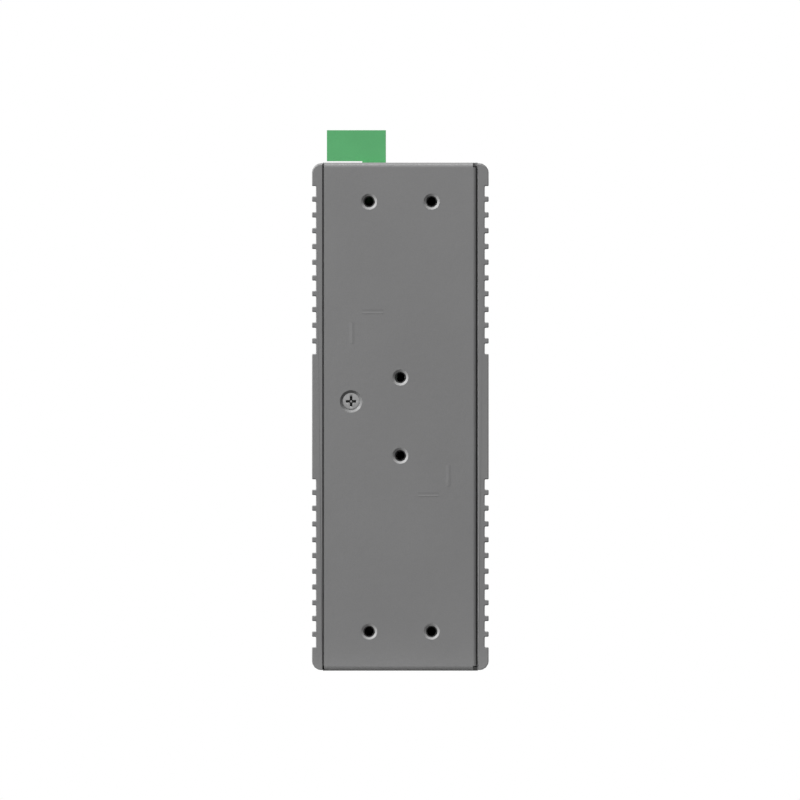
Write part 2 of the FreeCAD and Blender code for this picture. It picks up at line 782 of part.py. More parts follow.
half_spacing = "bracket_screw_spacing / 2"
bracket_screw_spots = [
    ("rear_in - bracket_screw_reach", "screw_z - " + half_spacing),
    ("rear_in - bracket_screw_reach", "screw_z + " + half_spacing),
    ("bracket_y - " + half_spacing, "top_in - bracket_screw_reach"),
    ("bracket_y + " + half_spacing, "top_in - bracket_screw_reach"),
    ("bracket_y - " + half_spacing, "sheet_thickness + bracket_screw_reach"),
    ("bracket_y + " + half_spacing, "sheet_thickness + bracket_screw_reach"),
]


def make_bracket(name, plane, wall, sign, middle, screw_axis, screw_spots):
    """An angle bracket: one leg on the cover, one against the wall that the screw passes through."""
    body = new_body(name)
    inner = "%s %s bracket_thickness" % (wall, "-" if sign > 0 else "+")
    far = "%s %s bracket_leg" % (wall, "-" if sign > 0 else "+")
    profile = [
        ("cover_in", wall), ("cover_in - bracket_reach", wall), ("cover_in - bracket_reach", inner),
        ("cover_in - bracket_thickness", inner), ("cover_in - bracket_thickness", far), ("cover_in", far),
    ]
    half = "bracket_width / 2"
    pad(body, name + "_angle", plane, [profile], "%s - %s" % (middle, half), "%s + %s" % (middle, half))
    across = ("screw_x", middle)
    lead = "screw_head_radius - screw_radius - (sheet_thickness - screw_seat_depth)"
    hole_plane = "XZ" if screw_axis == "y" else "XY"
    low, high = sorted([wall, inner], key=number)
    pocket(body, name + "_thread", hole_plane, [circle("screw_x", middle, "screw_radius + screw_fit")],
           low + " - overcut", high + " + overcut")
    start = "%s %s (%s)" % (wall, "-" if sign > 0 else "+", lead)
    cone_cut(body, name + "_lead", screw_axis, sign, start, across,
             "screw_radius + screw_fit", "screw_radius + screw_fit + %s" % lead, lead)
    bores = [circle(y, z, "bracket_screw_radius + screw_fit") for y, z in screw_spots]
    pocket(body, name + "_holes", "YZ", bores, "cover_in - bracket_thickness - overcut", "cover_in")
    return body


def make_brackets():
    rear = make_bracket("rear_bracket", "XY", "rear_in", 1, "screw_z", "y", bracket_screw_spots[0:2])
    top = make_bracket("top_bracket", "XZ", "top_in", 1, "bracket_y", "z", bracket_screw_spots[2:4])
    bottom = make_bracket("bottom_bracket", "XZ", "sheet_thickness", -1, "bracket_y", "z",
                          bracket_screw_spots[4:6])
    keep(group("cover_bracket_set", [rear, top, bottom]), "cover_brackets")
    screws = []
    for place, across in enumerate(bracket_screw_spots):
        name = "bracket_screw_%d" % place
        shank = rod(name + "_shank", "x", "cover_in - bracket_thickness", "cover_in + bracket_screw_bite",
                    across, "bracket_screw_radius")
        head = rod(name + "_head", "x", "cover_in - bracket_thickness - bracket_screw_head_height",
                   "cover_in - bracket_thickness", across, "bracket_screw_head")
        screws.append(fuse(name, [head, shank]))
    keep(group("bracket_screw_set", screws), "bracket_screws")


def countersunk_screw(name, axis, sign, surface, across, length):
    """A cross-head countersunk screw, its head sunk below a surface that faces sign * axis."""
    minus = "-" if sign > 0 else "+"
    plus = "+" if sign > 0 else "-"
    head_face = "%s %s screw_seat_depth" % (surface, minus)
    neck = "%s %s screw_head_height" % (head_face, minus)
    tip = "%s %s (%s)" % (head_face, minus, length)
    head = cone(name + "_head", axis, sign, neck, across, "screw_radius", "screw_head_radius",
                "screw_head_height")
    low, high = (tip, neck) if sign > 0 else (neck, tip)
    shank = rod(name + "_shank", axis, low, high, across, "screw_radius")
    bottom = "%s %s recess_depth" % (head_face, minus)
    top = "%s %s overcut" % (head_face, plus)
    along = (bottom, top) if sign > 0 else (top, bottom)
    others = [letter for letter in "xyz" if letter != axis]
    arms = []
    for first, second in (("recess_length", "recess_width"), ("recess_width", "recess_length")):
        pairs = {
            axis: along,
            others[0]: ("%s - %s / 2" % (across[0], first), "%s + %s / 2" % (across[0], first)),
            others[1]: ("%s - %s / 2" % (across[1], second), "%s + %s / 2" % (across[1], second)),
        }
        arms.append(block("%s_%s" % (name, first), pairs["x"], pairs["y"], pairs["z"]))
    return cut(name, fuse(name + "_solid", [head, shank]), arms)


def make_case_screws():
    rear = countersunk_screw("rear_screw", "y", 1, "rear", ("screw_x", "screw_z"), "screw_length")
    top = countersunk_screw("top_screw", "z", 1, "case_height", ("screw_x", "bracket_y"), "screw_length")
    bottom = countersunk_screw("bottom_screw", "z", -1, "0", ("screw_x", "bracket_y"), "screw_length")
    keep(group("cover_screw_set", [rear, top, bottom]), "cover_screws")
    screws = []
    for place, middle in enumerate(tab_middles):
        for word, sign, surface in (("top", 1, "case_height"), ("bottom", -1, "0")):
            screws.append(countersunk_screw("panel_%s_%d" % (word, place), "z", sign, surface,
                                            (middle, "panel_screw_y"), "panel_screw_length"))
    keep(group("panel_screw_set", screws), "panel_screws")
    screws = []
    for place, across in enumerate(plate_screw_spots):
        name = "plate_screw_%d" % place
        head = cone(name + "_head", "x", 1, "wall_out", across, "plate_screw_radius", "plate_screw_head",
                    "sheet_thickness")
        shank = rod(name + "_shank", "x", "wall_out - plate_screw_bite", "wall_out", across,
                    "plate_screw_radius - screw_fit")
        screws.append(fuse(name, [head, shank]))
    keep(group("plate_screw_set", screws), "side_plate_screws")


# Boards and what carries them

front_y = "main_front + front_fixing_setback"
mid_y = "power_front + power_fixing_edge"
rear_y = "power_rear - power_fixing_edge"
low_z = "board_margin + fixing_edge"
join_z = "power_low + power_fixing_edge"
upper_z = "pin_z - header_fixing_drop"
main_only = [(mid_y, low_z), (rear_y, low_z), (front_y, "case_height - board_margin - fixing_edge")]
shared = [(mid_y, join_z), (rear_y, join_z), (rear_y, upper_z), (mid_y, upper_z)]


def make_boards():
    outline = rectangle("main_front", "main_rear", "board_margin", "case_height - board_margin")
    holes = [circle(y, z, "board_hole_radius") for y, z in main_only + shared]
    body = new_body("main_board_body")
    pad(body, "main_board_sheet", "YZ", [outline] + holes, "main_back", "main_top")
    keep(body, "main_board")
    outline = rectangle("power_front", "power_rear", "power_low", "power_high")
    holes = [circle(y, z, "board_hole_radius") for y, z in shared]
    body = new_body("power_board_body")
    pad(body, "power_board_sheet", "YZ", [outline] + holes, "power_back", "power_top")
    slot = "(pin_side / 2 + pin_hole_gap)"
    slots = [rectangle("%s - %s" % (y, slot), "%s + %s" % (y, slot), "pin_z - " + slot, "pin_z + " + slot)
             for y in pole_middles]
    slots += link_squares("link_hole")
    pocket(body, "pin_slots", "YZ", slots, "power_back - overcut", "power_top + overcut")
    keep(body, "power_board")
    rings = []
    for y, z in main_only + shared:
        rings += [circle(y, z, "standoff_radius"), circle(y, z, "board_screw_radius")]
    keep(prisms("standoff_rings", "YZ", rings, "wall_in", "main_back"), "board_standoffs")
    spacers = []
    for place, across in enumerate(shared):
        name = "spacer_%d" % place
        barrel = rod(name + "_barrel", "x", "main_top", "power_back", across, "spacer_radius")
        bore = rod(name + "_bore", "x", "power_back - spacer_bore_depth", "power_back", across,
                   "board_screw_radius")
        stud = rod(name + "_stud", "x", "wall_in + stud_end_gap", "main_top", across,
                   "board_screw_radius - screw_fit")
        spacers.append(fuse(name, [cut(name + "_tube", barrel, [bore]), stud]))
    keep(group("spacer_set", spacers), "board_spacers")
    screws = []
    for place, across in enumerate(main_only + shared):
        face, reach = ("power_top", "power_screw_length")
        if place < len(main_only):
            face, reach = ("main_top", "main_screw_length")
        name = "board_screw_%d" % place
        head = rod(name + "_head", "x", face, face + " + board_screw_head_height", across, "board_screw_head")
        shank = rod(name + "_shank", "x", "%s - %s" % (face, reach), face, across,
                    "board_screw_radius - screw_fit")
        screws.append(fuse(name, [head, shank]))
    keep(group("board_screw_set", screws), "board_screws")


# Network ports: two rows of four, the latch sides facing outwards

def port_faces(sign):
    """The x of a row's inner side, outer side and latch bottom. sign is 1 for the upper row."""
    mark = "+" if sign > 0 else "-"
    inner = "jack_mid %s port_row_gap / 2" % mark
    outer = "%s %s port_height" % (inner, mark)
    return inner, outer, "%s %s latch_height" % (outer, mark)


port_z = "jack_low + jack_side + jack_pitch / 2"


def lamp_outlines(middle):
    outlines = []
    for sign, mark in ((1, "+"), (-1, "-")):
        near = "%s %s lamp_gap" % (port_faces(sign)[1], mark)
        far = "%s %s lamp_height" % (near, mark)
        for side in ("+", "-"):
            edge = "%s %s (port_width / 2 - lamp_inset)" % (middle, side)
            inside = "%s %s (port_width / 2 - lamp_inset - lamp_width)" % (middle, side)
            outlines.append(rectangle(near, far, inside, edge))
    return outlines


def make_jack():
    body = new_body("jack_housing_body")
    outline = rectangle("main_top", "jack_high - jack_skin", "jack_low + jack_skin", "jack_top - jack_skin")
    pad(body, "jack_block", "XZ", [outline], "port_face + jack_skin", "jack_rear - jack_skin")
    ports = []
    windows = []
    for sign in (1, -1):
        inner, outer, latch = port_faces(sign)
        wide = "port_width / 2"
        narrow = "latch_width / 2"
        ports.append([
            (inner, "%s - %s" % (port_z, wide)), (outer, "%s - %s" % (port_z, wide)),
            (outer, "%s - %s" % (port_z, narrow)), (latch, "%s - %s" % (port_z, narrow)),
            (latch, "%s + %s" % (port_z, narrow)), (outer, "%s + %s" % (port_z, narrow)),
            (outer, "%s + %s" % (port_z, wide)), (inner, "%s + %s" % (port_z, wide)),
        ])
        rim = "%s %s port_rim" % (inner, "-" if sign > 0 else "+")
        windows.append(rectangle(rim, latch, "%s - %s - port_rim" % (port_z, wide),
                                 "%s + %s + port_rim" % (port_z, wide)))
    cavity = pocket(body, "port_pair", "XZ", ports, "port_face", "port_face + port_depth")
    pits = pocket(body, "lamp_pits", "XZ", lamp_outlines(port_z), "port_face", "port_face + lamp_depth")
    line = [item for item in body.Origin.OriginFeatures if item.Role == "Z_Axis"][0]
    pattern = body.newObject("PartDesign::LinearPattern", "port_columns")
    pattern.Originals = [cavity, pits]
    pattern.Direction = (line, [""])
    pattern.setExpression("Length", formula("jack_pitch * %d" % (jack_columns - 1)))
    pattern.Occurrences = jack_columns
    body.Tip = pattern
    doc.recompute()
    keep(body, "jack_housing")

    body = new_body("jack_shield_body")
    outline = rectangle("main_top", "jack_high", "jack_low", "jack_top")
    pad(body, "shield_block", "XZ", [outline], "port_face", "jack_rear")
    inside = rectangle("main_top - overcut", "jack_high - jack_skin",
                       "jack_low + jack_skin", "jack_top - jack_skin")
    pocket(body, "shield_inside", "XZ", [inside], "port_face + jack_skin", "jack_rear - jack_skin")
    first = pocket(body, "shield_windows", "XZ", windows, "port_face - overcut", "port_face + jack_skin")
    repeat(body, first, "z", jack_columns, "jack_pitch")
    keep(body, "jack_shield")

    lamps = []
    for column in range(jack_columns):
        lamps += lamp_outlines("%s + jack_pitch * %d" % (port_z, column))
    keep(prisms("jack_lamp_set", "XZ", lamps, "port_face + jack_skin", "port_face + lamp_depth"),
         "jack_lamps")


def make_jack_contacts():
    """The slanted spring wires of each port, all copies of one strip."""
    strips = []
    for sign in (1, -1):
        inner = number(port_faces(sign)[0])
        front = number("port_face + contact_setback")
        rear = number("port_face + port_depth - contact_end_gap")
        rise = sign * number("contact_rise")
        lean = number("contact_lean")
        corners = [(inner, front), (inner + rise, rear), (inner + rise, rear + lean), (inner, front + lean)]
        points = [FreeCAD.Vector(x, y, 0) for x, y in corners]
        face = Part.Face(Part.makePolygon(points + points[:1]))
        strip = face.extrude(FreeCAD.Vector(0, 0, number("contact_width")))
        for column in range(jack_columns):
            for wire in range(wire_count):
                step = number("contact_pitch") * (wire - (wire_count - 1) / 2) - number("contact_width") / 2
                middle = number(port_z) + number("jack_pitch") * column
                copy = strip.copy()
                copy.translate(FreeCAD.Vector(0, 0, middle + step))
                strips.append(copy)
    item = doc.addObject("Part::Feature", "jack_contact_set")
    item.Shape = Part.makeCompound(strips)
    keep(item, "jack_contacts")


# Fibre slots

def make_slots():
    connectors = []
    for place in range(2):
        middle = "slot_first + slot_pitch * %d" % place
        body = new_body("cage_body_%d" % place)
        half = "cage_width / 2"
        outline = rectangle("main_top", "main_top + cage_height", "%s - %s" % (middle, half),
                            "%s + %s" % (middle, half))
        pad(body, "cage_block_%d" % place, "XZ", [outline], "port_face", "cage_rear")
        inside = rectangle("main_top + cage_skin", "main_top + cage_height - cage_skin",
                           "%s - %s + cage_skin" % (middle, half), "%s + %s - cage_skin" % (middle, half))
        pocket(body, "cage_inside_%d" % place, "XZ", [inside], "port_face - overcut",
               "cage_rear - cage_skin")
        keep(body, "sfp_cage_%d" % (place + 1))
        low = "main_top + cage_skin"
        face = "cage_rear - cage_skin - slot_connector_length"
        solid = block("connector_%d" % place, (low, low + " + slot_connector_height"),
                      (face, "cage_rear - cage_skin"),
                      ("%s - slot_connector_width / 2" % middle, "%s + slot_connector_width / 2" % middle))
        slot = block("connector_slot_%d" % place,
                     (low + " + card_slot_rise", low + " + card_slot_rise + card_slot_height"),
                     (face + " - overcut", face + " + card_slot_depth"),
                     ("%s - card_slot_width / 2" % middle, "%s + card_slot_width / 2" % middle))
        connectors.append(cut("connector_cut_%d" % place, solid, [slot]))
    keep(group("connector_set", connectors), "sfp_connectors")


# Indicator lamps

def make_leds():
    body = new_body("led_holder_body")
    margin = "(led_radius + led_holder_wall)"
    outline = rectangle("main_top", "main_top + led_first_height + led_row_height + " + margin,
                        "led_first - " + margin, "led_first + led_pitch * 2 + " + margin)
    pad(body, "led_block", "XZ", [outline], "main_front", "main_front + led_block_depth")
    seats = [circle(x, z, "led_radius") for x, z in led_spots]
    pocket(body, "led_seats", "XZ", seats, "main_front - overcut", "main_front + led_seat_depth")
    keep(body, "led_holder")
    lamps = []
    for place, across in enumerate(led_spots):
        barrel = rod("led_barrel_%d" % place, "y", "panel_front", "main_front + led_seat_depth", across,
                     "led_radius")
        tip = cone("led_tip_%d" % place, "y", 1, "panel_front - led_tip_length", across,
                   "led_tip_radius", "led_radius", "led_tip_length")
        lamps.append(fuse("led_%d" % place, [barrel, tip]))
    keep(group("led_set", lamps), "indicator_leds")


# Parts on the boards

def square(middle_y, middle_z, length_y, length_z):
    return rectangle("%s - (%s) / 2" % (middle_y, length_y), "%s + (%s) / 2" % (middle_y, length_y),
                     "%s - (%s) / 2" % (middle_z, length_z), "%s + (%s) / 2" % (middle_z, length_z))


def along_board(share):
    """The y at a share of the power board's depth."""
    return "(power_front + (power_rear - power_front) * %.2f)" % share


link_y = along_board(0.52)
link_z = "power_low + link_rise"


def link_squares(side):
    return [
        square("%s + link_pitch * (%.1f)" % (link_y, column), "%s + link_pitch * (%.1f)" % (link_z, row),
               side, side)
        for column in (-0.5, 0.5)
        for row in [place - (link_rows - 1) / 2 for place in range(link_rows)]
    ]


def make_main_board_parts():
    chip = (along_board(0.4), "jack_low + chip_rise")
    keep(prisms("chip", "YZ", [square(chip[0], chip[1], "chip_side", "chip_side")],
                "main_back - chip_thickness", "main_back"), "switch_chip")
    block_outline = square(chip[0], chip[1], "heat_block_side", "heat_block_side")
    keep(prisms("spreader", "YZ", [block_outline], "wall_in + pad_thickness", "main_back - chip_thickness"),
         "heat_block")
    keep(prisms("pad_sheet", "YZ", [block_outline], "wall_in", "wall_in + pad_thickness"), "thermal_pad")
    cans = [square("transformer_rear - transformer_width / 2", "%s + jack_pitch * %d" % (port_z, column),
                   "transformer_width", "transformer_length") for column in range(jack_columns)]
    keep(prisms("transformer_set", "YZ", cans, "main_top", "main_top + transformer_height"),
         "line_transformers")
    low = "jack_low + small_parts_rise"
    keep(prisms("memory", "YZ", [square(along_board(0.32), low, "memory_width", "memory_length")],
                "main_top", "main_top + memory_height"), "memory_chip")
    keep(prisms("crystal", "YZ", [square(along_board(0.6), low, "crystal_width", "crystal_length")],
                "main_top", "main_top + crystal_height"), "crystal_can")
    outline = square(link_y, link_z, "link_pitch * 2", "link_pitch * %d" % link_rows)
    keep(prisms("link_socket", "YZ", [outline] + link_squares("link_hole"), "main_top",
                "main_top + link_socket_height"), "board_link_socket")
    keep(prisms("link_base", "YZ", [outline] + link_squares("link_pin"), "power_back - link_base_height",
                "power_back"), "board_link_base")
    keep(prisms("link_pins", "YZ", link_squares("link_pin"), "main_top + link_pin_end_gap",
                "power_top + link_pin_tail"),
         "board_link_pins")


def make_power_board_parts():
    face = "power_top"
    cans = [circle(along_board(0.76), "power_low + capacitor_rise - capacitor_pitch * %d" % step,
                   "capacitor_radius") for step in range(2)]
    keep(prisms("capacitor_set", "YZ", cans, face, face + " + capacitor_height"), "storage_capacitors")
    coils = [square(along_board(share), "power_low + inductor_rise", "inductor_side", "inductor_side")
             for share in (0.18, 0.46)]
    keep(prisms("inductor_set", "YZ", coils, face, face + " + inductor_height"), "power_inductors")
    outline = square(along_board(0.44), "power_low + relay_rise", "relay_length", "relay_width")
    keep(prisms("relay", "YZ", [outline], face, face + " + relay_height"), "alarm_relay")
    fuses = [square(along_board(share), "header_low - fuse_drop", "fuse_length", "fuse_width")
             for share in (0.28, 0.56)]
    keep(prisms("fuse_set", "YZ", fuses, face, face + " + fuse_height"), "input_fuses")
    chips = [square(along_board(share), "power_low + regulator_rise", "regulator_length", "regulator_width")
             for share in (0.16, 0.36)]
    keep(prisms("regulator_set", "YZ", chips, face, face + " + regulator_height"), "regulator_chips")


# Terminal block

def make_header():
    body = new_body("header_body")
    outline = rectangle("power_top", "header_high", "header_low", "case_height")
    pad(body, "header_block", "XZ", [outline], "plug_mid - header_half", "plug_mid + header_half")
    inside = rectangle("cavity_low", "cavity_high", "plug_mid - plug_half - plug_clearance",
                       "plug_mid + plug_half + plug_clearance")
    pocket(body, "header_cavity", "XY", [inside], "cavity_floor", "case_height + overcut")
    half = "pin_side / 2"
    holes = [rectangle("pin_x - " + half, "pin_x + " + half, "%s - %s" % (y, half), "%s + %s" % (y, half))
             for y in pole_middles]
    pocket(body, "pin_holes", "XY", holes, "header_low - overcut", "cavity_floor + overcut")
    keep(body, "terminal_header")
    pins = []
    for place, y in enumerate(pole_middles):
        bend = [
            ("pin_x - " + half, "pin_top"), ("pin_x + " + half, "pin_top"),
            ("pin_x + " + half, "pin_z - " + half), ("power_back - pin_tail", "pin_z - " + half),
            ("power_back - pin_tail", "pin_z + " + half), ("pin_x - " + half, "pin_z + " + half),
        ]
        pins.append(prisms("header_pin_%d" % place, "XZ", [bend],
                           "%s - %s" % (y, half), "%s + %s" % (y, half)))
    keep(group("header_pin_set", pins), "header_pins")


def make_plug():
    body = new_body("plug_body")
    profile = [
        ("plug_low", "nose_end"), ("nose_high", "nose_end"), ("nose_high", "shoulder"),
        ("plug_high", "shoulder"), ("plug_high", "plug_top"), ("plug_low", "plug_top"),
    ]
    pad(body, "plug_block", "XZ", [profile], "plug_mid - plug_half", "plug_mid + plug_half")
    y = pole_middles[0]
    cell = rectangle("plug_low + plug_wall", "cell_high", "cell_low_z", "cell_high_z")
    half = "cell_width / 2"
    cuts = [pocket(body, "clamp_cell", "XZ", [cell], "%s - %s" % (y, half), "%s + %s" % (y, half))]
    channel = rectangle("nose_wall_low", "nose_wall_high", "nose_end + plug_floor", "cell_low_z")
    half = "(bar_width / 2 + clamp_gap)"
    cuts.append(pocket(body, "contact_channel", "XZ", [channel],
                       "%s - %s" % (y, half), "%s + %s" % (y, half)))
    half = "pin_window / 2"
    window = rectangle("pin_x - " + half, "pin_x + " + half, "%s - %s" % (y, half), "%s + %s" % (y, half))
    cuts.append(pocket(body, "pin_entry", "XY", [window], "nose_end - overcut", "nose_end + plug_floor"))
    shaft = circle(y, "clamp_mid_z", "screw_shaft_radius")
    cuts.append(pocket(body, "screw_shaft", "YZ", [shaft], "shaft_low", "plug_high + overcut"))
    neck = circle(y, "clamp_mid_z", "clamp_screw_radius + clamp_gap")
    cuts.append(pocket(body, "screw_neck", "YZ", [neck], "cell_high", "shaft_low"))
    half = "entry_width / 2"
    entry = rectangle("bar_low - entry_height", "bar_low", "%s - %s" % (y, half), "%s + %s" % (y, half))
    cuts.append(pocket(body, "wire_entry", "XY", [entry], "cell_high_z", "plug_top + overcut"))
    line = [item for item in body.Origin.OriginFeatures if item.Role == "Y_Axis"][0]
    pattern = body.newObject("PartDesign::LinearPattern", "poles")
    pattern.Originals = cuts
    pattern.Direction = (line, [""])
    pattern.setExpression("Length", formula("pole_pitch * %d" % (pole_count - 1)))
    pattern.Occurrences = pole_count
    body.Tip = pattern
    doc.recompute()
    keep(body, "plug_housing")


def make_plug_contacts():
    """A current bar behind each clamp, with a fork below it that grips the header's pin."""
    top = "cell_high_z - bar_top_gap"
    tip = "nose_end + fork_tip_rise"
    web_low = "pin_top + fork_web_gap"
    web_high = web_low + " + bar_thickness"
    leaf = "nose_wall_low + fork_wall_gap"
    leaf_in = leaf + " + fork_thickness"
    bend_high = "nose_end + fork_bend_rise"
    bend_mid = "nose_end + fork_pinch_rise"
    left = "(pin_x - pin_side / 2 - clamp_gap)"
    right = "(pin_x + pin_side / 2 + clamp_gap)"
    profile = [
        ("bar_high", top), ("bar_low", top), ("bar_low", web_high), (leaf, web_high),
        (leaf, bend_high), (left + " - fork_thickness", bend_mid), (leaf, tip), (leaf_in, tip),
        (left, bend_mid), (leaf_in, bend_high), (leaf_in, web_low), ("bar_low", web_low),
        ("bar_low", bend_high), (right, bend_mid), ("bar_low", tip), ("bar_high", tip),
        (right + " + bar_thickness", bend_mid), ("bar_high", bend_high),
    ]
    bars = [prisms("bar_%d" % place, "XZ", [profile], "%s - bar_width / 2" % y, "%s + bar_width / 2" % y)
            for place, y in enumerate(pole_middles)]
    keep(group("bar_set", bars), "plug_contacts")


def make_clamps():
    for place, y in enumerate(pole_middles):
        body = new_body("clamp_body_%d" % place)
        half = "clamp_width / 2"
        outer = rectangle("clamp_low", "nut_high", "%s - %s" % (y, half), "%s + %s" % (y, half))
        half = "(clamp_width / 2 - clamp_wall)"
        inner = rectangle("clamp_floor_top", "nut_low", "%s - %s" % (y, half), "%s + %s" % (y, half))
        pad(body, "clamp_frame_%d" % place, "XY", [outer, inner], "clamp_low_z", "clamp_high_z")
        thread = circle(y, "clamp_mid_z", "clamp_screw_radius + clamp_thread_fit")
        pocket(body, "clamp_thread_%d" % place, "YZ", [thread], "nut_low", "nut_high + overcut")
        keep(body, "clamp_cage_%d" % (place + 1))
        across = (y, "clamp_mid_z")
        shank = rod("clamp_shank_%d" % place, "x", "screw_tip", "head_low", across, "clamp_screw_radius")
        head = rod("clamp_head_%d" % place, "x", "head_low", "head_top", across, "clamp_screw_head")
        reach = "clamp_screw_head + overcut"
        slot = block("clamp_slot_%d" % place, ("head_top - clamp_slot_depth", "head_top + overcut"),
                     ("%s - clamp_slot_width / 2" % y, "%s + clamp_slot_width / 2" % y),
                     ("clamp_mid_z - (%s)" % reach, "clamp_mid_z + (%s)" % reach))
        blank = fuse("clamp_screw_blank_%d" % place, [head, shank])
        keep(cut("clamp_screw_solid_%d" % place, blank, [slot]), "clamp_screw_%d" % (place + 1))


def check_and_write():
    doc.recompute()
    for item in doc.Objects:
        if "Invalid" in item.State or "Error" in item.State:
            raise RuntimeError("%s failed: %s" % (item.Name, item.State))
    os.makedirs("parts", exist_ok=True)
    for item in nodes:
        shape = item.Shape
        if shape.isNull() or not shape.isValid() or not shape.Solids:
            raise RuntimeError(item.Label + " has no valid solid")
        shape.exportStep("parts/%s.step" % item.Label)
        print("%s: %d solids, %.1f mm3" % (item.Label, len(shape.Solids), shape.Volume))


make_chassis()
make_front_panel()
make_cover("finned_cover", 1)
make_cover("finned_side_plate", -1)
make_brackets()
make_case_screws()
make_boards()
make_jack()
make_jack_contacts()
make_slots()
make_leds()
make_main_board_parts()
make_power_board_parts()
make_header()
make_plug()
make_plug_contacts()
make_clamps()
check_and_write()
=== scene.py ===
import json
import math

import bmesh
import bpy
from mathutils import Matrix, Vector


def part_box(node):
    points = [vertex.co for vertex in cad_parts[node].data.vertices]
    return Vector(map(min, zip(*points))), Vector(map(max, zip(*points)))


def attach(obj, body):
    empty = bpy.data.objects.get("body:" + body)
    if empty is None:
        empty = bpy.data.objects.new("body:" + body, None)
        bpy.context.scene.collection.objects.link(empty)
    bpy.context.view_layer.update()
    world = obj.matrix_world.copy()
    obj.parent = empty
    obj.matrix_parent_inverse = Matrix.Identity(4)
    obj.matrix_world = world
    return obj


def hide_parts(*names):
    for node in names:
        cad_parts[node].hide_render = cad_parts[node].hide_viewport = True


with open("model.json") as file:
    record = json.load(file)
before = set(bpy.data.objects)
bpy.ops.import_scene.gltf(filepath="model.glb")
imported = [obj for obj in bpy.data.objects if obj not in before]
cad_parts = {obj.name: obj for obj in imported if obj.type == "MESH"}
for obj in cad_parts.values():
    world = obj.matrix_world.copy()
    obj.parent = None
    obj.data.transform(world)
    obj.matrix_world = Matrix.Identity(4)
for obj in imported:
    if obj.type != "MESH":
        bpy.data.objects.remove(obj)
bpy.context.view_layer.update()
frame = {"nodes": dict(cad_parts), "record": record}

mm = 0.001
print("frame loaded:", len(frame["nodes"]), "nodes")


# Mesh helpers. Points are in millimetres and shrink to metres when a piece is finished.

meshing = {"weldGap": 0.0001, "smoothAngle": 35, "leastLean": 0.3}


def boxMm(node):
    low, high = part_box(node)
    return Vector(low) / mm, Vector(high) / mm


def finishPiece(bm, name, slot, body="case", smoothAngle=meshing["smoothAngle"], finish=None):
    # the weld turns a ring that closes on its axis into one point
    bmesh.ops.remove_doubles(bm, verts=bm.verts, dist=meshing["weldGap"])
    bmesh.ops.scale(bm, vec=(mm, mm, mm), verts=bm.verts)
    bmesh.ops.recalc_face_normals(bm, faces=bm.faces)
    mesh = bpy.data.meshes.new(name)
    bm.to_mesh(mesh)
    bm.free()
    piece = bpy.data.objects.new(name, mesh)
    bpy.context.scene.collection.objects.link(piece)
    mesh.materials.append(finishes[finish or slot])
    mesh.shade_smooth()
    mesh.set_sharp_from_angle(angle=math.radians(smoothAngle))
    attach(piece, body)
    return piece


def roundedOutline(corners, steps=4):
    # corners are (u, v, radius) in order round a closed outline
    outline = []
    for place, (u, v, radius) in enumerate(corners):
        here = Vector((u, v))
        if radius <= 0:
            outline.append(here)
            continue
        toLast = (Vector(corners[place - 1][:2]) - here).normalized()
        toNext = (Vector(corners[(place + 1) % len(corners)][:2]) - here).normalized()
        half = toLast.angle(toNext) / 2
        centre = here + (toLast + toNext).normalized() * (radius / math.sin(half))
        start = here + toLast * (radius / math.tan(half)) - centre
        end = here + toNext * (radius / math.tan(half)) - centre
        for step in range(steps + 1):
            share = step / steps
            outline.append(centre + (start * (1 - share) + end * share).normalized() * radius)
    return outline


def insetOutline(outline, depth, topDepth=None, topFrom=0.0):
    # moves an anticlockwise outline inwards, and its top side by a depth of its own
    moved = []
    for place, here in enumerate(outline):
        before = (here - outline[place - 1]).normalized()
        after = (outline[(place + 1) % len(outline)] - here).normalized()
        normal = Vector((-before.y - after.y, before.x + after.x)).normalized()
        lean = max(meshing["leastLean"], normal.dot(Vector((-before.y, before.x))))
        step = depth
        if topDepth is not None and here.y > topFrom:
            step += (topDepth - depth) * max(0.0, -normal.y) ** 2
        moved.append(here + normal * (step / lean))
    return moved


def skinRings(bm, rings, capEnds=True):
    rows = [[bm.verts.new(point) for point in ring] for ring in rings]
    for low, high in zip(rows, rows[1:]):
        for place in range(len(low)):
            following = (place + 1) % len(low)
            bm.faces.new((low[place], low[following], high[following], high[place]))
    if capEnds:
        caps = [bm.faces.new(rows[0]), bm.faces.new(rows[-1])]
        for cap in caps:
            cap.normal_update()
        bmesh.ops.triangulate(bm, faces=caps)


facings = {  # out of the surface, then the two ways across it
    "rear": (Vector((0, 1, 0)), Vector((0, 0, 1)), Vector((1, 0, 0))),
    "front": (Vector((0, -1, 0)), Vector((1, 0, 0)), Vector((0, 0, 1))),
    "top": (Vector((0, 0, 1)), Vector((1, 0, 0)), Vector((0, 1, 0))),
    "bottom": (Vector((0, 0, -1)), Vector((0, 1, 0)), Vector((1, 0, 0))),
    "side": (Vector((1, 0, 0)), Vector((0, 1, 0)), Vector((0, 0, 1))),
}


def latheAt(bm, origin, facing, profile, steps=48, capEnds=False):
    # profile rows are (radius or a function of the turn, height out of the surface)
    out, first, second = facings[facing]
    rings = []
    for radius, height in profile:
        middle = origin + out * height
        ring = []
        for step in range(steps):
            turn = 2 * math.pi * step / steps
            reach = radius(turn) if callable(radius) else radius
            ring.append(middle + first * (reach * math.cos(turn)) + second * (reach * math.sin(turn)))
        rings.append(ring)
    skinRings(bm, rings, capEnds)


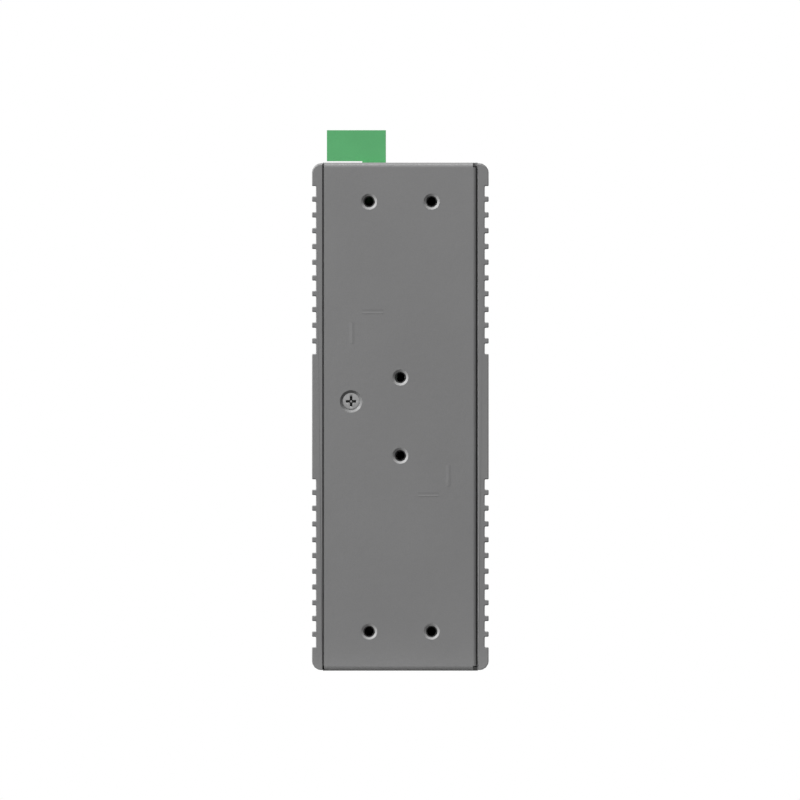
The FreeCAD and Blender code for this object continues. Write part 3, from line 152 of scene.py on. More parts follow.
def threadAt(bm, origin, facing, crest, root, pitch, low, high, steps=32):
    # one helical ridge: its crest line and its root line, a half pitch apart
    out, first, second = facings[facing]
    rows = []
    for count in range(int(steps * (high - low) / pitch) + 1):
        turn = 2 * math.pi * count / steps
        around = first * math.cos(turn) + second * math.sin(turn)
        height = low + pitch * count / steps
        rows.append((bm.verts.new(origin + out * height + around * crest),
                     bm.verts.new(origin + out * (height + pitch / 2) + around * root)))
    for (crestA, rootA), (crestB, rootB) in zip(rows, rows[1:]):
        bm.faces.new((crestA, crestB, rootB, rootA))
    for count in range(len(rows) - steps - 1):  # from each root to the next turn's crest
        bm.faces.new((rows[count][1], rows[count + 1][1],
                      rows[count + steps + 1][0], rows[count + steps][0]))


def ribbonAlong(bm, line, across, halfWidth, thickness):
    # a bent metal strip: its middle line, and the direction of its width
    side = across * halfWidth
    rings = []
    for place, point in enumerate(line):
        before, after = line[max(0, place - 1)], line[min(len(line) - 1, place + 1)]
        lift = (after - before).normalized().cross(across) * (thickness / 2)
        rings.append([point - side - lift, point + side - lift,
                      point + side + lift, point - side + lift])
    skinRings(bm, rings)


def boreHoles(piece, spots, facing, radius, depth, smoothAngle):
    # blind holes, cut by a set of round pins that is thrown away afterwards
    pins = bmesh.new()
    for spot in spots:
        latheAt(pins, spot, facing, [(radius, depth), (radius, -depth)], steps=24, capEnds=True)
    bmesh.ops.scale(pins, vec=(mm, mm, mm), verts=pins.verts)
    bmesh.ops.recalc_face_normals(pins, faces=pins.faces)
    mesh = bpy.data.meshes.new("borePins")
    pins.to_mesh(mesh)
    pins.free()
    cutter = bpy.data.objects.new("borePins", mesh)
    bpy.context.scene.collection.objects.link(cutter)
    drill = piece.modifiers.new("drill", "BOOLEAN")
    drill.operation = "DIFFERENCE"
    drill.solver = "EXACT"
    drill.object = cutter
    seen = piece.evaluated_get(bpy.context.evaluated_depsgraph_get())
    drilled = bpy.data.meshes.new_from_object(seen)
    drilled.shade_smooth()
    drilled.set_sharp_from_angle(angle=math.radians(smoothAngle))
    piece.modifiers.remove(drill)
    piece.data = drilled
    bpy.data.objects.remove(cutter)
    bpy.data.meshes.remove(mesh)


# Finishes

noiseSpan = (0.3, 0.7)  # the part of a noise's range that carries its contrast
bevelSamples = 6


class Finish:
    def __init__(self, name):
        self.material = bpy.data.materials.new(name)
        self.material.use_nodes = True
        self.tree = self.material.node_tree
        self.shader = self.tree.nodes["Principled BSDF"]
        self.place = self.add("ShaderNodeTexCoord").outputs["Object"]

    def add(self, kind, **values):
        node = self.tree.nodes.new(kind)
        for key, value in values.items():
            setattr(node, key, value)
        return node

    def join(self, start, end):
        self.tree.links.new(start, end)

    def noise(self, scale, detail=3.0, stretch=(1.0, 1.0, 1.0)):
        mapping = self.add("ShaderNodeMapping")
        mapping.inputs["Scale"].default_value = stretch
        self.join(self.place, mapping.inputs["Vector"])
        node = self.add("ShaderNodeTexNoise")
        node.inputs["Scale"].default_value = scale
        node.inputs["Detail"].default_value = detail
        self.join(mapping.outputs["Vector"], node.inputs["Vector"])
        return node.outputs["Fac"]

    def blend(self, factor, dark, light):
        node = self.add("ShaderNodeValToRGB")
        for element, position, colour in zip(node.color_ramp.elements, noiseSpan, (dark, light)):
            element.position = position
            element.color = (*colour, 1.0)
        self.join(factor, node.inputs["Fac"])
        return node.outputs["Color"]

    def mapRange(self, factor, span, results=(0.0, 1.0), kind="LINEAR"):
        node = self.add("ShaderNodeMapRange", interpolation_type=kind)
        sockets = ("From Min", "From Max", "To Min", "To Max")
        for socket, value in zip(sockets, (*span, *results)):
            node.inputs[socket].default_value = value
        self.join(factor, node.inputs["Value"])
        return node.outputs["Result"]

    def between(self, factor, low, high):
        return self.mapRange(factor, noiseSpan, (low, high))

    def softEdges(self, radius):
        node = self.add("ShaderNodeBevel", samples=bevelSamples)
        node.inputs["Radius"].default_value = radius * mm
        return node.outputs["Normal"]

    def bump(self, height, depth, below=None):
        node = self.add("ShaderNodeBump")
        node.inputs["Distance"].default_value = depth * mm
        self.join(height, node.inputs["Height"])
        if below:
            self.join(below, node.inputs["Normal"])
        return node.outputs["Normal"]

    def mixShaders(self, factor, first, second):
        node = self.add("ShaderNodeMixShader")
        for place, source in enumerate((factor, first, second)):
            self.join(source, node.inputs[place])
        return node.outputs[0]

    def feed(self, **sources):
        for socket, source in sources.items():
            self.join(source, self.shader.inputs[socket.replace("_", " ")])

    def fix(self, **values):
        for socket, value in values.items():
            self.shader.inputs[socket.replace("_", " ")].default_value = value


def shade(colour, factor):
    return tuple(min(1.0, channel * factor) for channel in colour)


powderCoat = {"colour": (0.193, 0.193, 0.194), "patchiness": 0.03, "patch": 45.0, "grain": 2600.0,
              "grainShade": 0.94, "peel": 700.0, "peelDepth": 0.025, "grainDepth": 0.01,
              "roughness": (0.40, 0.48), "specular": 0.45, "edge": 0.14}


def makePowderCoat(name, softEdged=True):
    coat = Finish(name)
    patches = coat.noise(powderCoat["patch"], detail=4.0)
    grain = coat.noise(powderCoat["grain"], detail=2.0)
    base, patchiness = powderCoat["colour"], powderCoat["patchiness"]
    toned = coat.blend(patches, shade(base, 1 - patchiness), shade(base, 1 + patchiness))
    specks = coat.blend(grain, (powderCoat["grainShade"],) * 3, (1.0, 1.0, 1.0))
    mixed = coat.add("ShaderNodeMix", data_type="RGBA", blend_type="MULTIPLY")
    mixed.inputs[0].default_value = 1.0
    coat.join(toned, mixed.inputs[6])  # 6, 7 and output 2 are the colour sockets of this node
    coat.join(specks, mixed.inputs[7])
    soft = coat.softEdges(powderCoat["edge"]) if softEdged else None
    peel = coat.bump(coat.noise(powderCoat["peel"], detail=1.0), powderCoat["peelDepth"], soft)
    coat.feed(Base_Color=mixed.outputs[2],
              Roughness=coat.between(patches, *powderCoat["roughness"]),
              Normal=coat.bump(grain, powderCoat["grainDepth"], peel))
    coat.fix(Specular_IOR_Level=powderCoat["specular"])
    return coat.material


metals = {  # colour, roughness, the way its fine lines run, and its edge radius
    "plated_steel": ((0.62, 0.62, 0.60), 0.36, (1.0, 0.06, 1.0), 0.08),
    # painted shade: the cover brackets' plating, darkened to the shade of the seam they show through
    "black_zinc": ((0.12, 0.12, 0.12), 0.50, (1.0, 0.06, 1.0), 0.08),
    "plated_screw": ((0.35, 0.35, 0.35), 0.34, (1.0, 1.0, 0.10), 0.05),
    # painted shade: a near-black metal standing in for the shadow inside the screws' cross recesses and the
    # tapped bores
    "recess_shade": ((0.06, 0.06, 0.06), 0.60, (1.0, 1.0, 1.0), 0.02),
    "nickel_brass": ((0.66, 0.63, 0.55), 0.30, (1.0, 0.06, 1.0), 0.08),
    "nickel_shield": ((0.60, 0.60, 0.58), 0.40, (1.0, 1.0, 0.05), 0.10),
    "gold_contact": ((0.90, 0.64, 0.24), 0.20, (1.0, 0.06, 1.0), 0.03),
    "bare_aluminium": ((0.72, 0.72, 0.73), 0.34, (1.0, 1.0, 0.05), 0.15),
    "tinned_brass": ((0.68, 0.67, 0.62), 0.33, (1.0, 0.06, 1.0), 0.05),
}
metalWear = {"lines": 900.0, "lineDepth": 0.006, "smoother": 0.07, "rougher": 0.1,
             "clouds": 140.0, "cloudShade": 0.94}


def makeMetal(name, colour, roughness, lineWay, edge):
    metal = Finish(name)
    lines = metal.noise(metalWear["lines"], detail=4.0, stretch=lineWay)
    clouds = metal.noise(metalWear["clouds"])
    metal.feed(Base_Color=metal.blend(clouds, shade(colour, metalWear["cloudShade"]), colour),
               Roughness=metal.between(lines, roughness - metalWear["smoother"],
                                       roughness + metalWear["rougher"]),
               Normal=metal.bump(lines, metalWear["lineDepth"], metal.softEdges(edge)))
    metal.fix(Metallic=1.0)
    return metal.material


plastics = {  # colour, roughness, grain scale and depth, edge radius, clearness, and specular level
    "black_plastic": ((0.022, 0.022, 0.023), 0.42, 1800.0, 0.012, 0.15, 0.0),
    "clear_lens": ((0.72, 0.76, 0.70), 0.15, 900.0, 0.004, 0.15, 0.6),
    "lamp_lens": ((0.30, 0.52, 0.20), 0.20, 900.0, 0.004, 0.15, 0.35),
    "chip_resin": ((0.030, 0.030, 0.033), 0.55, 2400.0, 0.012, 0.12, 0.0),
    "pad_silicone": ((0.33, 0.43, 0.58), 0.75, 1400.0, 0.02, 0.1, 0.0),
    "capacitor_sleeve": ((0.030, 0.035, 0.070), 0.30, 700.0, 0.006, 0.4, 0.0),
    "ferrite": ((0.060, 0.060, 0.064), 0.70, 1100.0, 0.03, 0.3, 0.0),
    "relay_case": ((0.050, 0.050, 0.052), 0.35, 1500.0, 0.01, 0.3, 0.0),
    "fuse_ceramic": ((0.78, 0.76, 0.68), 0.40, 1200.0, 0.008, 0.2, 0.0),
    "green_plastic": ((0.084, 0.352, 0.133), 0.45, 1500.0, 0.014, 0.15, 0.0),
    "cut_edge": ((0.33, 0.33, 0.33), 0.50, 1500.0, 0.004, 0.02, 0.0, 0.15),
    # painted shade: the near-black and grey strips that darken the rear face's two seams
    "seam_foam": ((0.26, 0.26, 0.26), 0.80, 900.0, 0.004, 0.05, 0.0, 0.1),
    "seam_seal": ((0.010, 0.010, 0.010), 0.80, 900.0, 0.004, 0.05, 0.0, 0.1),
}
plasticWear = {"clouds": 90.0, "cloudShade": 0.05, "roughnessStep": 0.05}


def makePlastic(name, colour, roughness, grainScale, grainDepth, edge, clearness, specular=0.5):
    plastic = Finish(name)
    clouds = plastic.noise(plasticWear["clouds"])
    grain = plastic.noise(grainScale, detail=2.0)
    tone, step = plasticWear["cloudShade"], plasticWear["roughnessStep"]
    plastic.feed(Base_Color=plastic.blend(clouds, shade(colour, 1 - tone), shade(colour, 1 + tone)),
                 Roughness=plastic.between(grain, roughness - step, roughness + step),
                 Normal=plastic.bump(grain, grainDepth, plastic.softEdges(edge)))
    plastic.fix(Transmission_Weight=clearness, Specular_IOR_Level=specular)
    return plastic.material


board = {"mask": (0.012, 0.105, 0.035), "track": (0.025, 0.19, 0.07), "coat": 0.3,
         "roughness": (0.25, 0.4), "roughnessPatch": 500.0,
         "trackPitch": 160.0, "trackGap": 0.035, "trackLength": 0.9, "trackWidth": 0.16,
         "trackDepth": 0.03, "rowShift": 0.35, "rowSquash": 0.6}


def makeBoard(name):
    # solder mask over rows of tracks that run up and along the board
    mask = Finish(name)
    turn = mask.add("ShaderNodeMapping")
    turn.inputs["Rotation"].default_value = (0.0, math.radians(90), math.radians(90))
    mask.join(mask.place, turn.inputs["Vector"])
    tracks = mask.add("ShaderNodeTexBrick", offset=board["rowShift"], squash=board["rowSquash"])
    for socket, value in (("Scale", "trackPitch"), ("Mortar Size", "trackGap"),
                          ("Brick Width", "trackLength"), ("Row Height", "trackWidth")):
        tracks.inputs[socket].default_value = board[value]
    mask.join(turn.outputs["Vector"], tracks.inputs["Vector"])
    patches = mask.noise(board["roughnessPatch"])
    mask.feed(Base_Color=mask.blend(tracks.outputs["Fac"], board["mask"], board["track"]),
              Roughness=mask.between(patches, *board["roughness"]),
              Normal=mask.bump(tracks.outputs["Fac"], board["trackDepth"]))
    mask.fix(Coat_Weight=board["coat"])
    return mask.material


finishes = {"painted_steel": makePowderCoat("powderCoatOnSteel"),
            "painted_aluminium": makePowderCoat("powderCoatOnAluminium"),
            "filled_mark": makePowderCoat("powderCoatInMarks", softEdged=False),
            "circuit_board": makeBoard("solderMask")}
for rows, makeFinish in ((metals, makeMetal), (plastics, makePlastic)):
    for slot, values in rows.items():
        finishes[slot] = makeFinish(slot.replace("_", " ").title().replace(" ", ""), *values)
nodeFinish = {"cover_brackets": "black_zinc"}  # the cover brackets are darkened below their plating: painted shade in the left seam, where they show through
for entry in frame["record"]["subparts"]:
    node = frame["nodes"][entry["node"]]
    if not node.material_slots:
        node.data.materials.append(None)
    for materialSlot in node.material_slots:
        materialSlot.material = finishes[nodeFinish.get(entry["node"], entry["material_slot"])]
print("finishes made:", len(finishes))


# Finned side covers: one section drawn along the depth, with softened rib edges. The top edge
# is eased further at the rear end.

cover = {"grooveWidth": 2.66, "groovePitch": 4.03, "grooveDepth": 1.0, "grooves": 11,
         "endMargin": 6.0, "cornerRadius": 2.3, "edgeRadius": 0.25, "rootRadius": 0.22,
         "lipRadius": 0.12, "endChamfer": 0.2, "topEase": 0.42, "topEaseLength": 0.45,
         "topEaseStart": 0.13, "topEaseBelow": 0.01, "smoothAngle": 30}


def makeCover(node, sign):
    low, high = boxMm(node)
    skin, inner = (high.x, low.x) if sign > 0 else (low.x, high.x)
    root = skin - sign * cover["grooveDepth"]
    starts = [cover["endMargin"] + cover["groovePitch"] * count for count in range(cover["grooves"])]
    starts += [high.z + low.z - start - cover["grooveWidth"] for start in reversed(starts)]
    corners = [(inner, low.z, cover["lipRadius"]), (skin, low.z, cover["cornerRadius"])]
    for start in starts:
        end = start + cover["grooveWidth"]
        corners += [(skin, start, cover["edgeRadius"]), (root, start, cover["rootRadius"]),
                    (root, end, cover["rootRadius"]), (skin, end, cover["edgeRadius"])]
    corners += [(skin, high.z, cover["cornerRadius"]), (inner, high.z, cover["lipRadius"])]
    if sign < 0:
        corners.reverse()
    section = roundedOutline(corners)
    chamfer, topFrom = cover["endChamfer"], high.z - cover["cornerRadius"] - cover["topEaseBelow"]
    chamfered = insetOutline(section, chamfer)
    easing = insetOutline(section, 0.0, cover["topEaseStart"], topFrom)
    eased = insetOutline(section, chamfer, cover["topEase"], topFrom)
    stations = ((chamfered, low.y), (section, low.y + chamfer), (section, high.y - cover["topEaseLength"]),
                (easing, high.y - chamfer), (eased, high.y))
    bm = bmesh.new()
    skinRings(bm, [[Vector((point.x, y, point.y)) for point in outline] for outline, y in stations])
    piece = finishPiece(bm, node + "_skin", "painted_aluminium", smoothAngle=cover["smoothAngle"])
    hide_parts(node)
    return piece, inner


coverBores = {"bracketY": (-20.0, -14.0), "bracketZ": (9.5, 120.5),
              "rearBracketY": (40.5,), "rearBracketZ": (65.9, 71.9),
              "bracketRadius": 1.0, "bracketDepth": 1.3,
              "plateY": (-36.5, 37.0), "plateZ": (20.0, 110.0), "plateRadius": 1.45, "plateDepth": 1.4}


def boreSpots(inner, row):
    return [Vector((inner, y, z)) for y in coverBores[row + "Y"] for z in coverBores[row + "Z"]]


def makeCovers():
    openCover, inner = makeCover("finned_cover", 1)
    boreHoles(openCover, boreSpots(inner, "bracket") + boreSpots(inner, "rearBracket"), "side",
              coverBores["bracketRadius"], coverBores["bracketDepth"], cover["smoothAngle"])
    foldPlate, inner = makeCover("finned_side_plate", -1)
    boreHoles(foldPlate, boreSpots(inner, "plate"), "side",
              coverBores["plateRadius"], coverBores["plateDepth"], cover["smoothAngle"])


makeCovers()
print("finned covers made")


# The powder coat that nearly fills the four clip marks. Each mark is a low ridge or a shallow
# groove in the paint, given in rows of (distance across the mark, height over the wall's face).

marks = {"halfAcross": 12.3, "ridgeAcross": 12.35, "halfUp": 23.4, "rise": 3.35, "setback": 5.15,
         "lift": 0.15, "length": 5.4, "rootDepth": 0.05, "smoothAngle": 1,
         "ridge": ((-0.62, 0.002), (0.0, 0.055), (0.73, 0.002)),
         "groove": ((-0.36, 0.002), (-0.36, 0.046), (0.02, 0.004),
                    (0.26, 0.004), (0.75, 0.034), (0.75, 0.002))}


def markStrip(bm, centre, across, along, profile):
    out = facings["rear"][0]
    root = -marks["rootDepth"]
    section = profile + ((profile[-1][0], root), (profile[0][0], root))
    skinRings(bm, [[centre + along * end + across * side + out * height for side, height in section]
                   for end in (-marks["length"] / 2, marks["length"] / 2)])


def makeMarks():
    low, high = boxMm("chassis")
    middle = (low.z + high.z) / 2 + marks["rise"]
    upright, level = Vector((0, 0, 1)), Vector((1, 0, 0))
    bm = bmesh.new()
    for sign in (-1, 1):
        height = middle - marks["lift"] + sign * (marks["halfUp"] - marks["setback"])
        centre = Vector((sign * marks["ridgeAcross"], high.y, height))
        markStrip(bm, centre, level, upright, marks["ridge"])
        x = sign * (marks["halfAcross"] - marks["setback"])
        centre = Vector((x, high.y, middle + sign * marks["halfUp"]))
        markStrip(bm, centre, upright, level, marks["groove"])
    finishPiece(bm, "clip_mark_paint", "painted_steel", smoothAngle=marks["smoothAngle"],
                finish="filled_mark")


makeMarks()
print("clip marks made")


# Painted shade in the two seams of the rear face: a near-black strip beside the folded wall, and a grey
# strip beside the cover that comes off, set into the gaps to darken them.
# Their sections are (x, y) corners.

seamShadeStrips = {"endGap": 1.35,
             "foldedWall": ((-19.36, 49.71), (-19.80, 49.64), (-19.80, 49.0), (-19.70, 49.3)),
             "openCover": ((19.50, 49.5), (19.50, 49.3), (19.80, 49.3), (19.80, 49.5))}


def makeSeamShadeStrip(name, section, finish):
    low, high = boxMm("chassis")
    bm = bmesh.new()
    skinRings(bm, [[Vector((x, y, z)) for x, y in section]
                   for z in (low.z + seamShadeStrips["endGap"], high.z - seamShadeStrips["endGap"])])
    finishPiece(bm, name, "black_plastic", finish=finish)


makeSeamShadeStrip("plate_seam_seal", seamShadeStrips["foldedWall"], "seam_seal")
makeSeamShadeStrip("cover_seam_seal", seamShadeStrips["openCover"], "seam_foam")
print("seam seals made")


# Countersunk case screws with a cross recess and a rolled thread

caseScrew = {"headRadius": 2.2, "headHeight": 1.05, "rimHeight": 0.14, "rimTop": 0.6,
             "faceEdge": 0.32, "faceRound": 0.1, "faceDrop": 0.03,
             "core": 1.02, "crest": 1.17, "root": 1.0, "pitch": 0.45,
             "tipLength": 0.35, "tipShare": 0.6, "threadEnd": 0.3,
             "armLength": 1.36, "armHalfWidth": 0.32, "armTaper": 0.45,
             "mouthSize": 1.05, "throatSize": 0.98, "throatDepth": 0.06, "floorSize": 0.8,
             "recessDepth": 0.95, "webRadius": 0.42, "webDepth": 0.45, "webFlat": 0.55,
             "webShoulder": 0.9, "webDrop": 0.12, "steps": 96,
             "rearHeight": 68.9, "coverLength": 5.0, "panelLength": 3.2}


def crossShape(size):
    # the distance from the middle to the edge of a cross recess, on each turn
    taper, tiny = caseScrew["armTaper"], 1e-6
    arm, half = caseScrew["armLength"] * size, caseScrew["armHalfWidth"] * (1 - taper + taper * size)

    def reach(turn):
        across, along = abs(math.cos(turn)) + tiny, abs(math.sin(turn)) + tiny
        level = min(half / along, arm / across)
        upright = min(half / across, arm / along)
        return max(level, upright)
    return reach


def caseScrewAt(bm, recess, origin, facing, length):
    rim, neck, rimHeight = caseScrew["headRadius"], caseScrew["headHeight"], caseScrew["rimHeight"]
    core, deep, steps = caseScrew["core"], caseScrew["recessDepth"], caseScrew["steps"]
    throat = (crossShape(caseScrew["throatSize"]), -caseScrew["throatDepth"])
    latheAt(bm, origin, facing, [
        throat, (crossShape(caseScrew["mouthSize"]), 0.0), (rim - caseScrew["faceEdge"], 0.0),
        (rim - caseScrew["faceRound"], -caseScrew["faceDrop"]), (rim, -rimHeight * caseScrew["rimTop"]),
        (rim, -rimHeight), (core, -neck), (core, caseScrew["tipLength"] - length),
        (core * caseScrew["tipShare"], -length), (0.0, -length)], steps)
    threadAt(bm, origin, facing, caseScrew["crest"], caseScrew["root"], caseScrew["pitch"],
             caseScrew["threadEnd"] - length, -neck)
    web, webTop = caseScrew["webRadius"], -caseScrew["webDepth"]
    shoulder = (web * caseScrew["webShoulder"], webTop - caseScrew["webDrop"])
    latheAt(bm, origin, facing, [(0.0, webTop), (web * caseScrew["webFlat"], webTop), shoulder])
    latheAt(recess, origin, facing, [
        shoulder, (web, -deep), (crossShape(caseScrew["floorSize"]), -deep), throat], steps)


def makeCaseScrews():
    low, high = boxMm("cover_screws")
    rim, length = caseScrew["headRadius"], caseScrew["coverLength"]
    x, y = (low.x + high.x) / 2, low.y + rim
    bm, recess = bmesh.new(), bmesh.new()
    caseScrewAt(bm, recess, Vector((x, high.y, caseScrew["rearHeight"])), "rear", length)
    caseScrewAt(bm, recess, Vector((x, y, high.z)), "top", length)
    caseScrewAt(bm, recess, Vector((x, y, low.z)), "bottom", length)
    coverScrews = finishPiece(bm, "cover_screws_detailed", "plated_screw")
    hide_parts("cover_screws")
    low, high = boxMm("panel_screws")
    y, length = (low.y + high.y) / 2, caseScrew["panelLength"]
    bm = bmesh.new()
    for x in (low.x + rim, high.x - rim):
        caseScrewAt(bm, recess, Vector((x, y, high.z)), "top", length)
        caseScrewAt(bm, recess, Vector((x, y, low.z)), "bottom", length)
    panelScrews = finishPiece(bm, "panel_screws_detailed", "plated_screw")
    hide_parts("panel_screws")
    # the recess faces are painted shade, dark as the shadow inside a recess
    finishPiece(recess, "screw_recesses", "plated_screw", finish="recess_shade")


makeCaseScrews()
print("case screws made")


# Bare metal rims of the six tapped holes in the fixing wall, and their threads, darkened with painted
# shade.
# The rim's rows are its share of the way from the bore to the mouth, and its height over the lead-in.

tappedHole = {"acrossHalf": 8.0, "edge": 10.0, "clipHalf": 10.0, "bore": 1.25, "mouth": 2.05,
              "leadIn": 0.45, "rimAngle": 60,
              "rim": ((0.28, 0.02), (0.45, 0.02), (0.75, 0.02), (0.93, 0.018), (1.03, 0.006)),
              "crest": 1.12, "root": 1.24, "pitch": 0.5, "depth": 2.35}


def makeTappedHoles():
    low, high = boxMm("chassis")
    middle, across = (low.z + high.z) / 2, tappedHole["acrossHalf"]
    spots = [(x, z) for x in (-across, across)
             for z in (low.z + tappedHole["edge"], high.z - tappedHole["edge"])]
    spots += [(0.0, middle - tappedHole["clipHalf"]), (0.0, middle + tappedHole["clipHalf"])]
    bore, root, bottom = tappedHole["bore"], tappedHole["root"], -tappedHole["depth"]
    width, deep = tappedHole["mouth"] - bore, tappedHole["leadIn"]
    slope = [(bore + width * share, deep * (share - 1) + lift) for share, lift in tappedHole["rim"]]
    rims, threads = bmesh.new(), bmesh.new()
    for x, z in spots:
        centre = Vector((x, high.y, z))
        latheAt(rims, centre, "rear", slope, steps=64)
        latheAt(threads, centre, "rear", [(root, bottom), (root, -deep), slope[0]], steps=64)
        threadAt(threads, centre, "rear", tappedHole["crest"], root, tappedHole["pitch"],
                 bottom, -deep, steps=48)
    finishPiece(rims, "tapped_hole_rims", "plated_steel", smoothAngle=tappedHole["rimAngle"],
                finish="cut_edge")
    # the threads are painted shade, dark as the shadow inside the bore
    finishPiece(threads, "tapped_hole_threads", "plated_steel", finish="recess_shade")


makeTappedHoles()
print("tapped holes dressed")


# Spring tabs inside the network ports, and spring fingers round the two fibre cages. The runs
# are rows of (depth behind the front, share of the reach).

springs = {"portLow": 13.985, "portPitch": 13.97, "portColumns": 4, "portHalf": 5.95,
           "rowMiddle": 1.5, "rowStep": 6.45, "wallGap": 0.02, "thickness": 0.12,
           "tabHalf": 1.1, "tabReach": 0.38,
           "tabRun": ((0.05, 0.0), (0.5, 0.1), (2.0, 1.0), (3.4, 0.85), (5.0, 0.0)),
           "longFingers": 7, "shortFingers": 5, "fingerPitch": 1.85, "fingerHalf": 0.6,
           "fingerReach": 0.2,
           "fingerRun": ((0.1, 0.05), (0.4, 0.75), (1.2, 1.0), (2.4, 0.6), (3.6, 0.1))}


def makePortSprings():
    low, high = boxMm("jack_shield")
    bm = bmesh.new()
    for column in range(springs["portColumns"]):
        middle = springs["portLow"] + springs["portPitch"] * column
        for row in (-1, 1):
            x = springs["rowMiddle"] + springs["rowStep"] * row
            for side in (-1, 1):
                wall = middle + side * (springs["portHalf"] + springs["wallGap"])
                reach = -side * springs["tabReach"]
                line = [Vector((x, low.y + depth, wall + reach * share))
                        for depth, share in springs["tabRun"]]
                ribbonAlong(bm, line, Vector((1, 0, 0)), springs["tabHalf"], springs["thickness"])
    finishPiece(bm, "port_spring_tabs", "nickel_shield")


def fingerPlaces(low, high, count):
    return [(low + high) / 2 + springs["fingerPitch"] * (place - (count - 1) / 2)
            for place in range(count)]


def makeCageFingers():
    bm = bmesh.new()
    half, thickness = springs["fingerHalf"], springs["thickness"]
    for node in ("sfp_cage_1", "sfp_cage_2"):
        low, high = boxMm(node)
        run = [(low.y + depth, springs["fingerReach"] * share) for depth, share in springs["fingerRun"]]
        for side, wall in ((-1, low.z), (1, high.z)):
            for x in fingerPlaces(low.x, high.x, springs["shortFingers"]):
                line = [Vector((x, y, wall + side * reach)) for y, reach in run]
                ribbonAlong(bm, line, Vector((1, 0, 0)), half, thickness)
        for side, wall in ((-1, low.x), (1, high.x)):
            for z in fingerPlaces(low.z, high.z, springs["longFingers"]):
                line = [Vector((wall + side * reach, y, z)) for y, reach in run]
                ribbonAlong(bm, line, Vector((0, 0, 1)), half, thickness)
    finishPiece(bm, "cage_spring_fingers", "nickel_shield")


makePortSprings()
makeCageFingers()
print("port springs and cage fingers made")


# Indicator lamps with round ends

indicator = {"x": (-7.8, -2.8), "z": (99.98, 103.98, 107.98), "radius": 1.3, "tip": 0.85,
             "turnStep": 10}


def makeLampDomes():
    low, high = boxMm("indicator_leds")
    radius, tip, length = indicator["radius"], indicator["tip"], high.y - low.y
    turns = [math.radians(turn) for turn in range(0, 91, indicator["turnStep"])]
    profile = [(radius * math.sin(turn), tip * (math.cos(turn) - 1)) for turn in turns]
    profile += [(radius, -length), (0.0, -length)]
    bm = bmesh.new()
    for x in indicator["x"]:
        for z in indicator["z"]:
            latheAt(bm, Vector((x, low.y, z)), "front", profile, steps=40)
    domes = finishPiece(bm, "indicator_lamp_domes", "lamp_lens")
    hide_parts("indicator_leds")


makeLampDomes()
print("indicator lamps made")


# Slotted clamp screws of the terminal plug, each on its own turning body

clampScrew = {"poles": 6, "headHeight": 1.4, "slotHalf": 0.3, "slotDepth": 0.7, "slotUnder": 0.05,
              "edge": 0.14, "core": 0.98, "crest": 1.2, "pitch": 0.5, "tipLength": 0.3,
              "tipShare": 0.7, "threadEnd": 0.35, "threadNeck": 0.3, "roundSteps": 10}


def makeClampScrew(number):
    low, high = boxMm("clamp_screw_%d" % number)
    origin = Vector((high.x, (low.y + high.y) / 2, (low.z + high.z) / 2))
    length, radius = high.x - low.x, (high.z - low.z) / 2
    edge, core, headEnd = clampScrew["edge"], clampScrew["core"], -clampScrew["headHeight"]
    slotFloor, steps = -clampScrew["slotDepth"], clampScrew["roundSteps"]
    limit = math.acos(clampScrew["slotHalf"] / radius)
    turns = [limit * (step / steps - 1) for step in range(2 * steps + 1)]
    bm = bmesh.new()
    for side in (-1, 1):  # the two half rounds beside the slot
        outline = [Vector((side * radius * math.cos(turn), side * radius * math.sin(turn)))
                   for turn in turns]
        heights = ((outline, slotFloor - clampScrew["slotUnder"]), (outline, -edge),
                   (insetOutline(outline, edge), 0.0))
        skinRings(bm, [[origin + Vector((height, point.x, point.y)) for point in ring]
                       for ring, height in heights])
    latheAt(bm, origin, "side", [
        (0.0, slotFloor), (radius, slotFloor), (radius, edge + headEnd), (radius - edge, headEnd),
        (core, headEnd), (core, clampScrew["tipLength"] - length),
        (core * clampScrew["tipShare"], -length), (0.0, -length)], steps=40)
    threadAt(bm, origin, "side", clampScrew["crest"], core, clampScrew["pitch"],
             clampScrew["threadEnd"] - length, headEnd - clampScrew["threadNeck"])
    screw = finishPiece(bm, "clamp_screw_%d_detailed" % number, "plated_screw",
                        body="screw_%d" % number)
    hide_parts("clamp_screw_%d" % number)


for number in range(1, clampScrew["poles"] + 1):
    makeClampScrew(number)
print("clamp screws made")


# Studio: soft lamps, white background, pale floor and the photo's straight-on camera, in metres

studio = {"worldLight": 0.09, "lampAim": 0.07, "lampDistance": 2.0,
          "lamps": [  # name, direction from the object, diameter, level on a surface that faces it
              ("keyLamp", (0.70, 0.42, 0.58), 0.8, 1.55),
              ("topLamp", (0.0, 0.30, 0.95), 0.8, 0.42),
              ("frontKeyLamp", (-0.45, -0.75, 0.35), 0.8, 0.72),
              ("frontFillLamp", (0.7, -0.6, 0.3), 0.9, 0.25),
              ("sideLamp", (-0.92, -0.38, 0.3), 0.9, 0.50)]}


def makeLamps():
    aim, distance = Vector((0, 0, studio["lampAim"])), studio["lampDistance"]
    for name, direction, size, level in studio["lamps"]:
        light = bpy.data.lights.new(name, "AREA")
        light.shape = "DISK"
        light.size = size
        light.energy = level * (math.pi * distance) ** 2
        lamp = bpy.data.objects.new(name, light)
        lamp.location = aim + Vector(direction).normalized() * distance
        lamp.rotation_euler = (aim - lamp.location).to_track_quat("-Z", "Y").to_euler()
        bpy.context.scene.collection.objects.link(lamp)


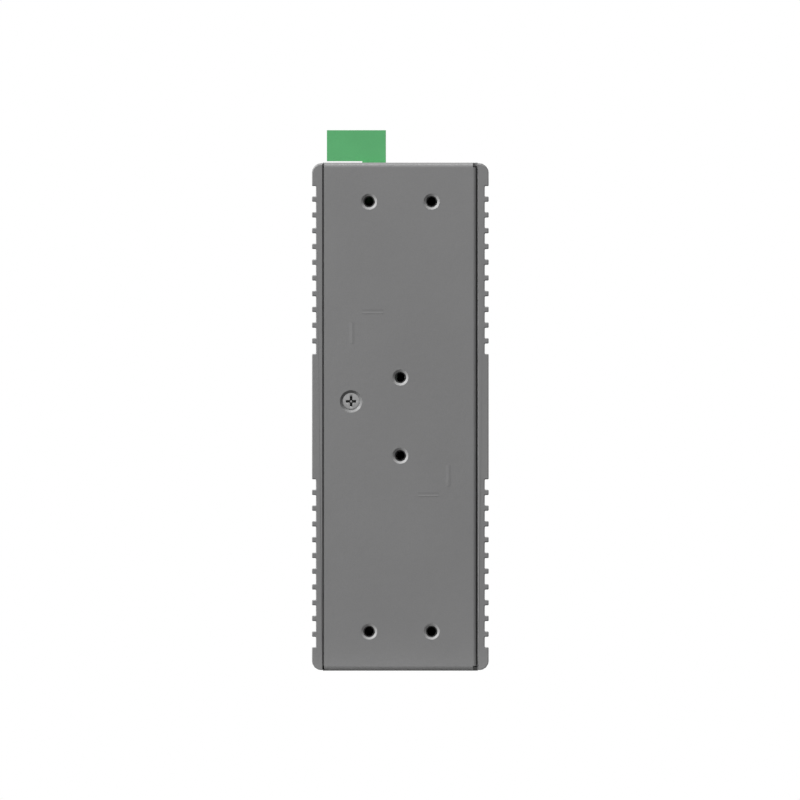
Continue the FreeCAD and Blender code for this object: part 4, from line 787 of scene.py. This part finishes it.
def makeWorld():
    # white for the camera, gloss and clear plastic; a dimmer grey for the light on the object
    world = bpy.data.worlds.new("studioWorld")
    bpy.context.scene.world = world
    world.use_nodes = True
    nodes, links = world.node_tree.nodes, world.node_tree.links
    nodes.clear()
    path = nodes.new("ShaderNodeLightPath")
    looked = path.outputs["Is Camera Ray"]
    for ray in ("Is Glossy Ray", "Is Transmission Ray"):
        either = nodes.new("ShaderNodeMath")
        either.operation = "MAXIMUM"
        links.new(looked, either.inputs[0])
        links.new(path.outputs[ray], either.inputs[1])
        looked = either.outputs[0]
    mix = nodes.new("ShaderNodeMixShader")
    links.new(looked, mix.inputs[0])
    for place, strength in ((1, studio["worldLight"]), (2, 1.0)):
        background = nodes.new("ShaderNodeBackground")
        background.inputs["Color"].default_value = (1.0, 1.0, 1.0, 1.0)
        background.inputs["Strength"].default_value = strength
        links.new(background.outputs[0], mix.inputs[place])
    links.new(mix.outputs[0], nodes.new("ShaderNodeOutputWorld").inputs["Surface"])


# bounce is the light that the floor sends back, close to the object and further out
floorPaper = {"colour": 0.62, "patch": 3.0, "patchShade": 1.03, "roughness": 0.9, "specular": 0.1,
              "bounce": (0.46, 0.16), "bounceReach": (0.053, 0.068), "fade": (0.30, 0.75),
              "drop": 0.0002}


def makeFloor():
    # pale paper that keeps the shadow near the object and fades into the white background further out
    bm = bmesh.new()
    bmesh.ops.create_grid(bm, x_segments=4, y_segments=4, size=floorPaper["fade"][1])
    mesh = bpy.data.meshes.new("floor")
    bm.to_mesh(mesh)
    bm.free()
    floor = bpy.data.objects.new("floor", mesh)
    floor.location.z = -floorPaper["drop"]
    paper = Finish("floorPaper")
    colour = (floorPaper["colour"],) * 3
    patched = paper.blend(paper.noise(floorPaper["patch"]), colour, shade(colour, floorPaper["patchShade"]))
    paper.feed(Base_Color=patched)
    paper.fix(Roughness=floorPaper["roughness"], Specular_IOR_Level=floorPaper["specular"])
    length = paper.add("ShaderNodeVectorMath", operation="LENGTH")
    paper.join(paper.place, length.inputs[0])
    away = length.outputs["Value"]
    bounce = paper.add("ShaderNodeBsdfDiffuse")
    near = paper.mapRange(away, floorPaper["bounceReach"], floorPaper["bounce"], "SMOOTHSTEP")
    paper.join(near, bounce.inputs["Color"])
    looked = paper.add("ShaderNodeLightPath").outputs["Is Camera Ray"]
    seen = paper.mixShaders(looked, bounce.outputs[0], paper.shader.outputs[0])
    clear = paper.add("ShaderNodeBsdfTransparent").outputs[0]
    faded = paper.mixShaders(paper.mapRange(away, floorPaper["fade"], kind="SMOOTHSTEP"), seen, clear)
    paper.join(faded, paper.tree.nodes["Material Output"].inputs["Surface"])
    mesh.materials.append(paper.material)
    bpy.context.scene.collection.objects.link(floor)


# the frame and its middle in the photo's pixels, and the camera's distance in metres
photo = {"pxPerMm": 3.908, "middlePx": 400.35, "basePx": 670.65, "frame": 800, "distance": 0.6}


def makeCamera():
    lens = bpy.data.cameras.new("photoCamera")
    lens.type = "ORTHO"
    lens.ortho_scale = photo["frame"] / photo["pxPerMm"] * mm
    camera = bpy.data.objects.new("photoCamera", lens)
    half = photo["frame"] / 2
    camera.location = ((photo["middlePx"] - half) / photo["pxPerMm"] * mm, photo["distance"],
                       (photo["basePx"] - half) / photo["pxPerMm"] * mm)
    camera.rotation_euler = (math.radians(90), 0, math.radians(180))
    bpy.context.scene.collection.objects.link(camera)
    bpy.context.scene.camera = camera
    bpy.context.scene.view_settings.view_transform = "Standard"


makeLamps()
makeWorld()
makeFloor()
makeCamera()
print("studio ready")
